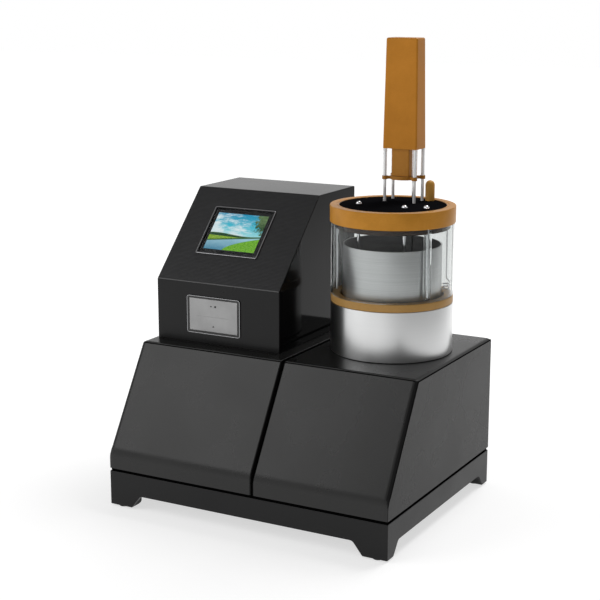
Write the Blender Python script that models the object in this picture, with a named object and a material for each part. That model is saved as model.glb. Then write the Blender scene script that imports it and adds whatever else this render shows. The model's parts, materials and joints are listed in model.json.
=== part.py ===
"""Bench-top laboratory thermostat bath analyser, modelled as an assembly.

Metres, +Z up. The origin is on the floor under the middle of the plinth.
The front is -Y and the right side is +X. Each object is one physical piece.
"""
import math

import bmesh
import bpy
from mathutils import Matrix, Vector

MM = 0.001
GAP = 0.3 * MM

# Plinth and the two lower modules
WIDTH = 506 * MM
DEPTH = 401.2 * MM
HALF_W = WIDTH / 2
HALF_D = DEPTH / 2
PAD_HEIGHT = 2 * MM
PLINTH_TOP = 60 * MM
TABLE_TOP = 64.1 * MM
TABLE_INSET = 2 * MM
SKIRT = 8 * MM
FOOT_X = 40 * MM
FOOT_Y = 20 * MM
ARCH_TOP = 24 * MM
ARCH_RUN = 19 * MM
ARCH_RADIUS = 9 * MM
MODULE_BOTTOM = TABLE_TOP + GAP
CREASE_Z = 91.4 * MM
MODULE_TOP = 257.8 * MM
SLOPE_TOP_Y = -98.9 * MM
MODULE_SPLIT_LEFT = 16 * MM
MODULE_SPLIT_RIGHT = 20.4 * MM
SHEET = 3 * MM
REAR_PANEL_Y = 191.6 * MM

# Display housing on the left module
DISPLAY_LEFT = -241.8 * MM
DISPLAY_RIGHT = -6.5 * MM
DISPLAY_FRONT = -68.4 * MM
DISPLAY_BACK = 199 * MM
DISPLAY_CREASE_Z = 360.5 * MM
DISPLAY_TOP = 499.4 * MM
DISPLAY_SLOPE_Y = 67.8 * MM
DISPLAY_WALL = 2.5 * MM
SLOPE_ANGLE = math.atan2(DISPLAY_TOP - DISPLAY_CREASE_Z, DISPLAY_SLOPE_Y - DISPLAY_FRONT)
SCREEN_X = -131.1 * MM
SCREEN_UP_SLOPE = 105.9 * MM
BEZEL_SIZE = (118.4 * MM, 97.4 * MM)
BEZEL_RIM = 3 * MM
BEZEL_HEIGHT = 1.8 * MM
LCD_SIZE = (104.4 * MM, 82 * MM)

# Panel printer in the display housing
PRINTER_X = -130.6 * MM
PRINTER_Z = 307.4 * MM
PRINTER_SIZE = (102.2 * MM, 63 * MM)
DOOR_SIZE = (92 * MM, 55 * MM)
DOOR_GAP = 0.4 * MM
DOOR_FRONT = DISPLAY_FRONT - 2 * MM
DOOR_THICK = 3 * MM
DOOR_HINGE_Y = DOOR_FRONT + DOOR_THICK / 2
DOOR_HINGE_Z = PRINTER_Z - DOOR_SIZE[1] / 2 + DOOR_THICK / 2
PLATEN_Y = -57 * MM
PLATEN_Z = 299 * MM
PLATEN_RADIUS = 5 * MM
PAPER_WIDTH = 57 * MM
ROLL_Y = -24 * MM
ROLL_Z = 306 * MM
ROLL_RADIUS = 20 * MM
CHASSIS_BACK = 2 * MM
BUTTON_OFFSET = 4.1 * MM
BUTTON_Z = 323.5 * MM

# Bath on the right module
BATH = Vector((134.5 * MM, 54.8 * MM, 0))
DRUM_RADIUS = 99.5 * MM
DRUM_BOTTOM = 261.3 * MM
DRUM_TOP = 340 * MM
MID_RING_TOP = 353.1 * MM
GLASS_TOP = 469.9 * MM
GLASS_WALL = 3.5 * MM
RING_RADIUS = 101.4 * MM
RING_INNER = 86.4 * MM
RING_BOTTOM = GLASS_TOP + GAP
RING_TOP = 497.2 * MM
LEDGE_INNER = 83.2 * MM
PLATE_TOP = 496 * MM
PLATE_BOTTOM = 490 * MM
PLUG_RADIUS = 93.5 * MM
PLUG_BOTTOM = 460.9 * MM
CAN_RADIUS = 80.3 * MM
CAN_BOTTOM = 350.6 * MM
CAN_TOP = 433.5 * MM
STUD_OFFSETS = ((-46.2 * MM, -30 * MM), (36.2 * MM, -34.2 * MM), (67.2 * MM, -19.4 * MM))
WELL_OFFSET = (79 * MM, -39.1 * MM)
LEVEL_ROD_OFFSET = (-77.9 * MM, -42.9 * MM)
COIL_OFFSET = (77.5 * MM, 42.7 * MM)
PEG_OFFSET = (33.5 * MM, 70.3 * MM)
PEG_RADIUS = 7.7 * MM
PEG_SHANK = 5 * MM
PEG_TOP = 529.6 * MM
NUT_RADIUS = 5 * MM
NUT_COLLAR = 2.8 * MM
NUT_HEIGHT = 6.4 * MM

# Stirrer tower on the lid
TOWER = BATH + Vector((-3.7 * MM, 47.6 * MM, 0))
POST_X = 26.4 * MM
POST_Y = 16 * MM
POST_RADIUS = 2.5 * MM
SLEEVE_RADIUS = 4 * MM
FLANGE_BOTTOM = 532.2 * MM
FLANGE_TOP = 537.8 * MM
FLANGE_RADIUS = 22 * MM
EAR_RADIUS = 4.5 * MM
HOUSING_BOTTOM = 582.5 * MM
HOUSING_TOP = 759 * MM
HOUSING_HALF = (30.2 * MM, 18.7 * MM)
HOUSING_TAPER = 2.75 * MM
HOUSING_WALL = 2.2 * MM
NECK_HALF = (15.8 * MM, 14.8 * MM)
SHAFT = TOWER + Vector((11.9 * MM, 11 * MM, 0))
SHAFT_RADIUS = 2 * MM
IMPELLER_RADIUS = 9 * MM

# Rear fittings on the right module
FAN = (180 * MM, 170 * MM)
FAN_SIZE = 60 * MM
INLET = (62 * MM, 108 * MM)
SWITCH = (104 * MM, 108 * MM)

BIG, MEDIUM, SMALL, HOLE = 48, 24, 12, 8


def clear_scene():
    for item in list(bpy.data.objects):
        bpy.data.objects.remove(item, do_unlink=True)


def make_material(name, colour, roughness, metallic=0.0):
    material = bpy.data.materials.new(name)
    material.use_nodes = True
    shader = material.node_tree.nodes["Principled BSDF"]
    shader.inputs["Base Color"].default_value = (*colour, 1)
    shader.inputs["Roughness"].default_value = roughness
    shader.inputs["Metallic"].default_value = metallic
    return material


def make_materials():
    looks = {
        "black_enamel": ((0.035, 0.035, 0.036), 0.45, 0.0),
        "black_plastic": ((0.03, 0.03, 0.03), 0.4, 0.0),
        "rubber": ((0.02, 0.02, 0.02), 0.8, 0.0),
        "bakelite": ((0.42, 0.21, 0.045), 0.4, 0.0),
        "stainless": ((0.72, 0.72, 0.72), 0.25, 1.0),
        "turned_aluminium": ((0.6, 0.61, 0.62), 0.35, 1.0),
        "glass": ((0.85, 0.9, 0.9), 0.02, 0.0),
        "chrome": ((0.8, 0.8, 0.82), 0.08, 1.0),
        "grey_plastic": ((0.3, 0.3, 0.3), 0.45, 0.0),
        "screen": ((0.1, 0.3, 0.5), 0.1, 0.0),
        "circuit_green": ((0.02, 0.15, 0.06), 0.5, 0.0),
        "paper": ((0.85, 0.85, 0.83), 0.9, 0.0),
    }
    return {name: make_material(name, *values) for name, values in looks.items()}


def add_object(name, mesh_builder, material, location=(0, 0, 0), rotation=(0, 0, 0)):
    bmesh.ops.recalc_face_normals(mesh_builder, faces=mesh_builder.faces)
    mesh = bpy.data.meshes.new(name)
    mesh_builder.to_mesh(mesh)
    mesh_builder.free()
    if material:
        mesh.materials.append(material)
    mesh.shade_smooth()
    mesh.set_sharp_from_angle(angle=math.radians(35))
    item = bpy.data.objects.new(name, mesh)
    item.location = location
    item.rotation_euler = rotation
    bpy.context.scene.collection.objects.link(item)
    return item


def hide(item):
    item.hide_render = True
    item.display_type = "WIRE"
    return item


def boolean(target, tool, operation):
    modifier = target.modifiers.new(f"{operation.lower()} {tool.name}", "BOOLEAN")
    modifier.operation = operation
    modifier.solver = "EXACT"
    modifier.object = hide(tool)
    return target


def cut(target, *tools):
    for tool in tools:
        boolean(target, tool, "DIFFERENCE")
    return target


def unite(target, *tools):
    for tool in tools:
        boolean(target, tool, "UNION")
    return target


def bevel(item, width, segments=2):
    modifier = item.modifiers.new("edges", "BEVEL")
    modifier.width = width
    modifier.segments = segments
    modifier.limit_method = "ANGLE"
    modifier.angle_limit = math.radians(30)
    return item


def prism(name, outline, axis, start, end, material=None, location=(0, 0, 0), rotation=(0, 0, 0)):
    """Extrude a flat outline: (y, z) points along X, (x, z) along Y or (x, y) along Z."""
    place = {
        "X": lambda a, b, along: (along, a, b),
        "Y": lambda a, b, along: (a, along, b),
        "Z": lambda a, b, along: (a, b, along),
    }[axis]
    shape = bmesh.new()
    first = [shape.verts.new(place(a, b, start)) for a, b in outline]
    last = [shape.verts.new(place(a, b, end)) for a, b in outline]
    shape.faces.new(first)
    shape.faces.new(last)
    count = len(outline)
    for i in range(count):
        j = (i + 1) % count
        shape.faces.new((first[i], first[j], last[j], last[i]))
    return add_object(name, shape, material, location, rotation)


def rectangle(x0, x1, y0, y1):
    return [(x0, y0), (x1, y0), (x1, y1), (x0, y1)]


def block(name, low, high, material=None, location=(0, 0, 0), rotation=(0, 0, 0)):
    outline = rectangle(low[0], high[0], low[1], high[1])
    return prism(name, outline, "Z", low[2], high[2], material, location, rotation)


def rounded(outline, radius, steps=3):
    """Round each corner of a convex outline with an arc of the given radius."""
    result = []
    count = len(outline)
    for i in range(count):
        corner = Vector(outline[i])
        before = (Vector(outline[i - 1]) - corner).normalized()
        after = (Vector(outline[(i + 1) % count]) - corner).normalized()
        half_angle = before.angle(after) / 2
        centre = corner + (before + after).normalized() * (radius / math.sin(half_angle))
        start = corner + before * (radius / math.tan(half_angle)) - centre
        end = corner + after * (radius / math.tan(half_angle)) - centre
        sweep = start.angle_signed(end)
        for step in range(steps + 1):
            arm = Matrix.Rotation(-sweep * step / steps, 2) @ start
            result.append(tuple(centre + arm))
    return result


def offset_outline(outline, distances):
    """Move each edge of an anticlockwise outline inwards by its own distance."""
    lines = []
    count = len(outline)
    for i in range(count):
        a, b = Vector(outline[i]), Vector(outline[(i + 1) % count])
        run = (b - a).normalized()
        inward = Vector((-run.y, run.x))
        lines.append((a + inward * distances[i], run))
    result = []
    for i in range(count):
        (p, u), (q, v) = lines[i - 1], lines[i]
        t = (q - p).cross(v) / u.cross(v)
        result.append(tuple(p + u * t))
    return result


def turned(name, profile, centre, segments, material=None):
    """Turn a closed (radius, z) profile about a vertical axis through centre."""
    shape = bmesh.new()
    rings = []
    for radius, z in profile:
        if radius == 0:
            rings.append([shape.verts.new((0, 0, z))])
            continue
        angles = [2 * math.pi * i / segments for i in range(segments)]
        rings.append([shape.verts.new((radius * math.cos(a), radius * math.sin(a), z)) for a in angles])
    for ring, following in zip(rings, rings[1:] + rings[:1]):
        for i in range(segments):
            j = (i + 1) % segments
            corners = [ring[i % len(ring)], ring[j % len(ring)]]
            corners += [following[j % len(following)], following[i % len(following)]]
            corners = list(dict.fromkeys(corners))
            if len(corners) > 2:
                shape.faces.new(corners)
    return add_object(name, shape, material, (centre[0], centre[1], 0))


def rod(name, radius, low, high, centre, material=None, segments=SMALL):
    return turned(name, [(0, low), (radius, low), (radius, high), (0, high)], centre, segments, material)


def tube(name, outer, inner, low, high, centre, material=None, segments=SMALL):
    profile = [(outer, low), (outer, high), (inner, high), (inner, low)]
    return turned(name, profile, centre, segments, material)


def bar_y(name, radius, centre_x, centre_z, start, end, material=None, segments=SMALL):
    angles = [2 * math.pi * i / segments for i in range(segments)]
    outline = [(centre_x + radius * math.cos(a), centre_z + radius * math.sin(a)) for a in angles]
    return prism(name, outline, "Y", start, end, material)


def bar_x(name, radius, centre_y, centre_z, start, end, material=None, segments=SMALL):
    angles = [2 * math.pi * i / segments for i in range(segments)]
    outline = [(centre_y + radius * math.cos(a), centre_z + radius * math.sin(a)) for a in angles]
    return prism(name, outline, "X", start, end, material)


def from_bath(offset):
    return BATH + Vector((*offset, 0))


def build_plinth(looks):
    low, high = (-HALF_W, -HALF_D, PAD_HEIGHT), (HALF_W, HALF_D, PLINTH_TOP)
    body = block("plinth", low, high, looks["black_enamel"])
    bevel(body, 1.5 * MM)
    table_x, table_y = HALF_W - TABLE_INSET, HALF_D - TABLE_INSET
    table = block("plinth table", (-table_x, -table_y, PLINTH_TOP - SKIRT), (table_x, table_y, TABLE_TOP))
    roof = PLINTH_TOP - SKIRT / 2
    inner_x, inner_y = HALF_W - SKIRT, HALF_D - SKIRT
    far_x, far_y = HALF_W - FOOT_X - 4 * MM, HALF_D - FOOT_Y - 6 * MM
    long_hollow = block("plinth hollow X", (-inner_x, -far_y, -MM), (inner_x, far_y, roof))
    wide_hollow = block("plinth hollow Y", (-far_x, -inner_y, -MM), (far_x, inner_y, roof))
    unite(body, table)
    cut(body, long_hollow, wide_hollow)
    for axis, half, reach in (("Y", HALF_W - FOOT_X, HALF_D), ("X", HALF_D - FOOT_Y, HALF_W)):
        below, spread = -20 * MM, half + ARCH_RUN * 20 * MM / ARCH_TOP
        outline = [(-spread, below), (spread, below)]
        outline += [(half - ARCH_RUN, ARCH_TOP), (-half + ARCH_RUN, ARCH_TOP)]
        arch = prism(f"plinth arch {axis}", rounded(outline, ARCH_RADIUS), axis, -reach - MM, reach + MM)
        cut(body, arch)


def build_foot_pads(looks):
    for side, x in (("left", -HALF_W + 20 * MM), ("right", HALF_W - 20 * MM)):
        for end, y in (("front", -HALF_D + 10 * MM), ("rear", HALF_D - 10 * MM)):
            top = PAD_HEIGHT - GAP
            rod(f"foot_pad_{end}_{side}", 8 * MM, 0, top, (x, y), looks["rubber"], MEDIUM)


def module_outline():
    return [
        (-HALF_D, MODULE_BOTTOM), (HALF_D, MODULE_BOTTOM), (HALF_D, MODULE_TOP),
        (SLOPE_TOP_Y, MODULE_TOP), (-HALF_D, CREASE_Z),
    ]


def build_housings(looks):
    outline = module_outline()
    inner = offset_outline(outline, (-2 * SHEET, -2 * SHEET, SHEET, SHEET, SHEET))
    spans = {"left": (-HALF_W, MODULE_SPLIT_LEFT), "right": (MODULE_SPLIT_RIGHT, HALF_W)}
    for side, (start, end) in spans.items():
        shell = prism(f"{side}_housing", outline, "X", start, end, looks["black_enamel"])
        bevel(shell, 1.5 * MM)
        cut(shell, prism(f"{side} housing hollow", inner, "X", start + SHEET, end - SHEET))
        low = (start + SHEET + GAP, REAR_PANEL_Y, MODULE_BOTTOM + GAP)
        high = (end - SHEET - GAP, REAR_PANEL_Y + SHEET, MODULE_TOP - SHEET - GAP)
        panel = block(f"rear_panel_{side}", low, high, looks["black_enamel"])
        if side == "left":
            low, high = MODULE_TOP - 10 * MM, MODULE_TOP + MM
            cut(shell, rod("cable hole", 15 * MM, low, high, (-124 * MM, 120 * MM)))
            cut_vents(panel, -118 * MM, 170 * MM, 8)
        else:
            cut_rear_fittings(panel)


def cut_vents(panel, centre_x, centre_z, count):
    for i in range(count):
        x = centre_x + (i - (count - 1) / 2) * 12 * MM
        low = (x - 1.8 * MM, HALF_D - 20 * MM, centre_z - 32 * MM)
        high = (x + 1.8 * MM, HALF_D + 10 * MM, centre_z + 32 * MM)
        cut(panel, block(f"{panel.name} vent {i + 1}", low, high))


def cut_rear_fittings(panel):
    start, end = REAR_PANEL_Y - 5 * MM, REAR_PANEL_Y + 10 * MM
    cut(panel, bar_y("fan hole", 28 * MM, *FAN, start, end, segments=MEDIUM))
    for name, (x, z), half_x, half_z in (
        ("inlet hole", INLET, 13.8 * MM, 10.3 * MM),
        ("switch hole", SWITCH, 11.3 * MM, 8.3 * MM),
    ):
        cut(panel, block(name, (x - half_x, start, z - half_z), (x + half_x, end, z + half_z)))


def build_power_inlet(looks):
    x, z = INLET
    face = REAR_PANEL_Y + SHEET + GAP
    outline = rounded(rectangle(x - 17 * MM, x + 17 * MM, z - 13 * MM, z + 13 * MM), 3 * MM)
    body = prism("power_inlet", outline, "Y", face, face + 2.5 * MM, looks["black_plastic"])
    core = block("inlet core", (x - 13.5 * MM, face - 24 * MM, z - 10 * MM),
                 (x + 13.5 * MM, face + MM, z + 10 * MM))
    outline = [(-12, -8), (12, -8), (12, 3), (7, 8), (-7, 8), (-12, 3)]
    outline = [(x + a * MM, z + b * MM) for a, b in outline]
    unite(body, core)
    cut(body, prism("inlet socket", outline, "Y", face - 17 * MM, face + 5 * MM))
    for i, (dx, dz) in enumerate(((-7, -2), (7, -2), (0, 2))):
        low = (x + (dx - 1) * MM, face - 19 * MM, z + (dz - 2) * MM)
        high = (x + (dx + 1) * MM, face - 2 * MM, z + (dz + 2) * MM)
        unite(body, block(f"inlet pin {i + 1}", low, high))


def build_power_switch(looks):
    x, z = SWITCH
    face = REAR_PANEL_Y + SHEET + GAP
    outline = rounded(rectangle(x - 13.5 * MM, x + 13.5 * MM, z - 10.5 * MM, z + 10.5 * MM), 1.5 * MM)
    frame = prism("switch_frame", outline, "Y", face, face + 1.6 * MM, looks["black_plastic"])
    unite(frame, block("switch core", (x - 11 * MM, face - 16 * MM, z - 8 * MM),
                       (x + 11 * MM, face + MM, z + 8 * MM)))
    cut(frame, block("switch well", (x - 9.6 * MM, face - 12 * MM, z - 6.6 * MM),
                     (x + 9.6 * MM, face + 5 * MM, z + 6.6 * MM)))
    # The rocker tips about a vertical pin; its two finger faces meet in a shallow V.
    outline = [(-9, 1.6), (0, 0.6), (9, 1.6), (7.6, -3), (0, -6.4), (-7.6, -3)]
    outline = [(a * MM, b * MM) for a, b in outline]
    rocker = prism("power_switch", outline, "Z", -6.2 * MM, 6.2 * MM, looks["black_plastic"],
                   (x, face - 2 * MM, z), (0, 0, math.radians(7)))
    bevel(rocker, 0.3 * MM, 1)


def build_fan(looks):
    x, z = FAN
    back = REAR_PANEL_Y - GAP
    half = FAN_SIZE / 2
    outline = rounded(rectangle(x - half, x + half, z - half, z + half), 4 * MM, 2)
    frame = prism("fan_frame", outline, "Y", back - 20 * MM, back, looks["black_plastic"])
    cut(frame, bar_y("fan throat", 28 * MM, x, z, back - 16 * MM, back + MM, segments=MEDIUM))
    cut(frame, tube_y("fan intake", 26 * MM, 12.5 * MM, x, z, back - 21 * MM, back - 15 * MM))
    arms = [bar_between(f"fan arm {i + 1}", x, z, 28 * MM, 45 + 90 * i, back - 19.5 * MM, back - 17 * MM)
            for i in range(4)]
    unite(frame, *arms)
    rotor = bar_y("fan_rotor", 11.5 * MM, x, z, back - 15.5 * MM, back - 2 * MM,
                  looks["black_plastic"], MEDIUM)
    for i in range(7):
        unite(rotor, fan_blade(i, x, z, back - 14 * MM, back - 3.5 * MM))
    build_fan_guard(looks, x, z)


def tube_y(name, outer, inner, x, z, start, end):
    shape = bar_y(name, outer, x, z, start, end, segments=MEDIUM)
    cut(shape, bar_y(f"{name} core", inner, x, z, start - MM, end + MM, segments=MEDIUM))
    return shape


def bar_between(name, x, z, length, degrees, start, end):
    """A flat arm, 3 mm wide, from a centre outwards at an angle in the XZ plane."""
    a = math.radians(degrees)
    along = Vector((math.cos(a), math.sin(a)))
    across = Vector((-along.y, along.x)) * 1.5 * MM
    centre = Vector((x, z))
    tip = centre + along * length
    corners = [centre - across, tip - across, tip + across, centre + across]
    return prism(name, [tuple(corner) for corner in corners], "Y", start, end)


def fan_blade(index, x, z, start, end):
    """One pitched blade: a thin slanted strip from the hub to the tip."""
    half, tip, thick = 4.5 * MM, 26.3 * MM, 1.2 * MM
    outline = [(-half, start), (-half + thick, start), (half, end), (half - thick, end)]
    shape = bmesh.new()
    roots = [shape.verts.new((a, b, 9 * MM)) for a, b in outline]
    tips = [shape.verts.new((a * 1.4, b, tip)) for a, b in outline]
    shape.faces.new(roots)
    shape.faces.new(tips)
    for i in range(4):
        j = (i + 1) % 4
        shape.faces.new((roots[i], roots[j], tips[j], tips[i]))
    turn = Matrix.Rotation(math.tau * index / 7, 4, "Y")
    bmesh.ops.transform(shape, matrix=turn, verts=shape.verts)
    return add_object(f"fan blade {index + 1}", shape, None, (x, 0, z))


def build_fan_guard(looks, x, z):
    face = REAR_PANEL_Y + SHEET + GAP
    half = FAN_SIZE / 2 + MM
    outline = rounded(rectangle(x - half, x + half, z - half, z + half), 4 * MM, 2)
    guard = prism("fan_guard", outline, "Y", face, face + 2 * MM, looks["chrome"])
    radii = (10 * MM, 19 * MM, 28 * MM)
    start, end = face - MM, face + 3 * MM
    for inner, outer in zip((radii[0], radii[1]), (radii[1], radii[2])):
        cut(guard, tube_y(f"guard gap {outer:.3f}", outer - MM, inner + MM, x, z, start, end))
    for i in range(4):
        unite(guard, bar_between(f"guard arm {i + 1}", x, z, 28.5 * MM, 45 + 90 * i, face, face + 2 * MM))


def build_inner_units(looks):
    floor = MODULE_BOTTOM + GAP
    supply = block("power_supply", (50 * MM, 10 * MM, floor), (210 * MM, 108 * MM, floor + 42 * MM),
                   looks["turned_aluminium"])
    bevel(supply, MM, 1)
    cut(supply, block("terminal recess", (60 * MM, 96 * MM, floor + 12 * MM),
                      (200 * MM, 109 * MM, floor + 50 * MM)))
    top = floor + 12 * MM
    board = block("control_board", (-222 * MM, 10 * MM, top), (-42 * MM, 150 * MM, top + 1.6 * MM),
                  looks["circuit_green"])
    parts = [
        ((-210, 110, 0), (-150, 140, 22)), ((-140, 118, 0), (-60, 146, 14)), ((-190, 40, 0), (-150, 80, 5)),
        ((-120, 40, 0), (-90, 70, 4)), ((-76, 24, 0), (-52, 90, 18)),
    ]
    for i, (low, high) in enumerate(parts):
        low = (low[0] * MM, low[1] * MM, top + MM)
        high = (high[0] * MM, high[1] * MM, top + high[2] * MM)
        unite(board, block(f"board part {i + 1}", low, high))
    for i, (x, y) in enumerate(((-216, 16), (-48, 16), (-216, 144), (-48, 144))):
        unite(board, rod(f"board standoff {i + 1}", 3 * MM, floor, top + MM, (x * MM, y * MM)))


def build_display_housing(looks):
    outline = [
        (DISPLAY_FRONT, MODULE_TOP + GAP), (DISPLAY_BACK, MODULE_TOP + GAP), (DISPLAY_BACK, DISPLAY_TOP),
        (DISPLAY_SLOPE_Y, DISPLAY_TOP), (DISPLAY_FRONT, DISPLAY_CREASE_Z),
    ]
    wall = DISPLAY_WALL
    shell = prism("display_housing", outline, "X", DISPLAY_LEFT, DISPLAY_RIGHT, looks["black_enamel"])
    bevel(shell, 1.5 * MM)
    inner = offset_outline(outline, (-3 * wall, -3 * wall, wall, wall, wall))
    cut(shell, prism("display hollow", inner, "X", DISPLAY_LEFT + wall, DISPLAY_RIGHT - wall))
    half_x, half_z = PRINTER_SIZE[0] / 2 - 2.2 * MM, PRINTER_SIZE[1] / 2 - 1.6 * MM
    cut(shell, block("printer hole", (PRINTER_X - half_x, DISPLAY_FRONT - MM, PRINTER_Z - half_z),
                     (PRINTER_X + half_x, DISPLAY_FRONT + 2 * wall, PRINTER_Z + half_z)))
    hole_x, hole_y = LCD_SIZE[0] / 2 + GAP, LCD_SIZE[1] / 2 + GAP
    cut(shell, on_slope("screen hole", rectangle(-hole_x, hole_x, -hole_y, hole_y), -2 * wall, MM))
    low = (DISPLAY_LEFT + wall + GAP, DISPLAY_BACK - 6 * MM, MODULE_TOP + 2 * GAP)
    high = (DISPLAY_RIGHT - wall - GAP, DISPLAY_BACK - 3.5 * MM, DISPLAY_TOP - wall - GAP)
    cover = block("display_rear_cover", low, high, looks["black_enamel"])
    cut_vents(cover, -124 * MM, 420 * MM, 10)


def on_slope(name, outline, low, high, material=None):
    """Extrude an outline about the screen's centre, square to the display's sloped face."""
    up = SCREEN_UP_SLOPE
    y = DISPLAY_FRONT + up * math.cos(SLOPE_ANGLE)
    place = (SCREEN_X, y, DISPLAY_CREASE_Z + up * math.sin(SLOPE_ANGLE))
    return prism(name, outline, "Z", low, high, material, place, (SLOPE_ANGLE, 0, 0))


def build_screen(looks):
    x, y = BEZEL_SIZE[0] / 2, BEZEL_SIZE[1] / 2
    bezel = on_slope("screen_bezel", rounded(rectangle(-x, x, -y, y), 3 * MM), GAP, GAP + BEZEL_HEIGHT,
                     looks["stainless"])
    inner_x, inner_y = x - BEZEL_RIM, y - BEZEL_RIM
    cut(bezel, on_slope("bezel opening", rectangle(-inner_x, inner_x, -inner_y, inner_y), 0, 5 * MM))
    glass_x, glass_y = inner_x - GAP, inner_y - GAP
    on_slope("touch_glass", rectangle(-glass_x, glass_x, -glass_y, glass_y), GAP, 1.6 * MM, looks["glass"])
    x, y = LCD_SIZE[0] / 2, LCD_SIZE[1] / 2
    on_slope("lcd_panel", rectangle(-x, x, -y, y), -6 * MM, 0, looks["screen"])
    board = on_slope("display_board", rectangle(-x, x, -y, y), -8 * MM, -6.4 * MM, looks["circuit_green"])
    chip = rectangle(-12 * MM, 12 * MM, -9 * MM, 15 * MM)
    unite(board, on_slope("display chip", chip, -11 * MM, -7 * MM))
    plug = rectangle(20 * MM, 44 * MM, -32 * MM, -26 * MM)
    unite(board, on_slope("display plug", plug, -16 * MM, -7 * MM))


def build_printer_frame(looks):
    x, z = PRINTER_X, PRINTER_Z
    half_x, half_z = PRINTER_SIZE[0] / 2, PRINTER_SIZE[1] / 2
    outline = rounded(rectangle(x - half_x, x + half_x, z - half_z, z + half_z), 4 * MM)
    frame = prism("printer_frame", outline, "Y", DISPLAY_FRONT - 1.8 * MM, DISPLAY_FRONT - GAP,
                  looks["black_plastic"])
    sleeve_x, sleeve_z = half_x - 2.5 * MM, half_z - 1.9 * MM
    sleeve = block("printer sleeve", (x - sleeve_x, DISPLAY_FRONT - MM, z - sleeve_z),
                   (x + sleeve_x, DISPLAY_FRONT + 10 * MM, z + sleeve_z))
    door_x, door_z = DOOR_SIZE[0] / 2 + DOOR_GAP, DOOR_SIZE[1] / 2 + DOOR_GAP
    opening = block("printer opening", (x - door_x, DISPLAY_FRONT - 5 * MM, z - door_z),
                    (x + door_x, DISPLAY_FRONT + 20 * MM, z + door_z))
    cut(unite(frame, sleeve), opening)


def build_printer_door(looks):
    x = PRINTER_X
    half = DOOR_SIZE[0] / 2
    radius = DOOR_THICK / 2
    top = PRINTER_Z + DOOR_SIZE[1] / 2
    edge = 0.6 * MM
    front, back = DOOR_FRONT, DOOR_FRONT + DOOR_THICK
    barrel = [math.pi * (1 + i / 6) for i in range(7)]
    outline = [(DOOR_HINGE_Y + radius * math.cos(a), DOOR_HINGE_Z + radius * math.sin(a)) for a in barrel]
    outline += [(back, top), (front + edge, top), (front, top - edge)]
    door = prism("printer_door", outline, "X", x - half, x + half, looks["grey_plastic"])
    for side in (-1, 1):
        inner, outer = sorted((x + side * 32 * MM, x + side * 35.5 * MM))
        low, high = (inner, back - MM, PLATEN_Z - 5 * MM), (outer, PLATEN_Y + 4.5 * MM, PLATEN_Z + 5 * MM)
        unite(door, block(f"door lug {side}", low, high))
    cut(door, bar_x("axle holes", 1.9 * MM, PLATEN_Y, PLATEN_Z, x - 40 * MM, x + 40 * MM))
    slot_z = PLATEN_Z + PLATEN_RADIUS + 1.5 * MM
    cut(door, block("paper slot", (x - 29.5 * MM, front - MM, slot_z),
                    (x + 29.5 * MM, back + MM, slot_z + 0.9 * MM)))
    cut(door, bar_y("button hole", 1.9 * MM, x + BUTTON_OFFSET, BUTTON_Z, front - MM, back + MM))
    cut(door, bar_y("lamp recess", 1.3 * MM, x - BUTTON_OFFSET, BUTTON_Z, front - MM, front + 0.6 * MM))
    bar_y("feed_button", 1.5 * MM, x + BUTTON_OFFSET, BUTTON_Z, front - 0.5 * MM, back + 1.5 * MM,
          looks["black_plastic"])


def build_printer_inside(looks):
    x = PRINTER_X
    front = DISPLAY_FRONT + 10 * MM + GAP
    bottom, top = PRINTER_Z - 29 * MM, PRINTER_Z + 29 * MM
    chassis = block("printer_chassis", (x - 41 * MM, front, bottom), (x + 41 * MM, CHASSIS_BACK, top),
                    looks["black_plastic"])
    cut(chassis, block("paper bay", (x - 39 * MM, front - MM, bottom + 2 * MM),
                       (x + 39 * MM, CHASSIS_BACK - 2 * MM, top - 2 * MM)))
    platen = bar_x("platen_roller", PLATEN_RADIUS, PLATEN_Y, PLATEN_Z, x - 30 * MM, x + 30 * MM,
                   looks["rubber"], 16)
    unite(platen, bar_x("platen axle", 1.5 * MM, PLATEN_Y, PLATEN_Z, x - 37 * MM, x + 37 * MM))
    head_y = PLATEN_Y + PLATEN_RADIUS + GAP
    head = block("print_head", (x - 30 * MM, head_y, PLATEN_Z - 8 * MM),
                 (x + 30 * MM, head_y + 4 * MM, top - 2.3 * MM), looks["turned_aluminium"])
    cut(head, block("head relief", (x - 20 * MM, head_y + 2 * MM, PLATEN_Z - 9 * MM),
                    (x + 20 * MM, head_y + 5 * MM, PLATEN_Z - 2 * MM)))
    half = PAPER_WIDTH / 2
    roll = bar_x("paper_roll", ROLL_RADIUS, ROLL_Y, ROLL_Z, x - half, x + half, looks["paper"], MEDIUM)
    cut(roll, bar_x("roll core", 6.5 * MM, ROLL_Y, ROLL_Z, x - half - MM, x + half + MM))


def build_bath_vessel(looks):
    bath = BATH
    outer, inner = DRUM_RADIUS + 0.6 * MM, DRUM_RADIUS - 8 * MM
    tube("drum_seal", outer, inner, MODULE_TOP + GAP, DRUM_BOTTOM - GAP, bath, looks["rubber"], BIG)
    inner = DRUM_RADIUS - 2 * MM
    profile = [(0, DRUM_BOTTOM), (DRUM_RADIUS, DRUM_BOTTOM), (DRUM_RADIUS, DRUM_TOP), (inner, DRUM_TOP)]
    profile += [(inner, DRUM_BOTTOM + 3 * MM), (0, DRUM_BOTTOM + 3 * MM)]
    turned("drum", profile, bath, BIG, looks["stainless"])
    outer, inner, edge = DRUM_RADIUS, 84 * MM, MM
    low, high = DRUM_TOP + GAP, MID_RING_TOP
    profile = [(outer, low), (outer, high - edge), (outer - edge, high), (inner, high), (inner, low)]
    turned("mid_ring", profile, bath, BIG, looks["bakelite"])
    tube("glass_cylinder", DRUM_RADIUS, DRUM_RADIUS - GLASS_WALL, MID_RING_TOP + GAP, GLASS_TOP, bath,
         looks["glass"], BIG)


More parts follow.
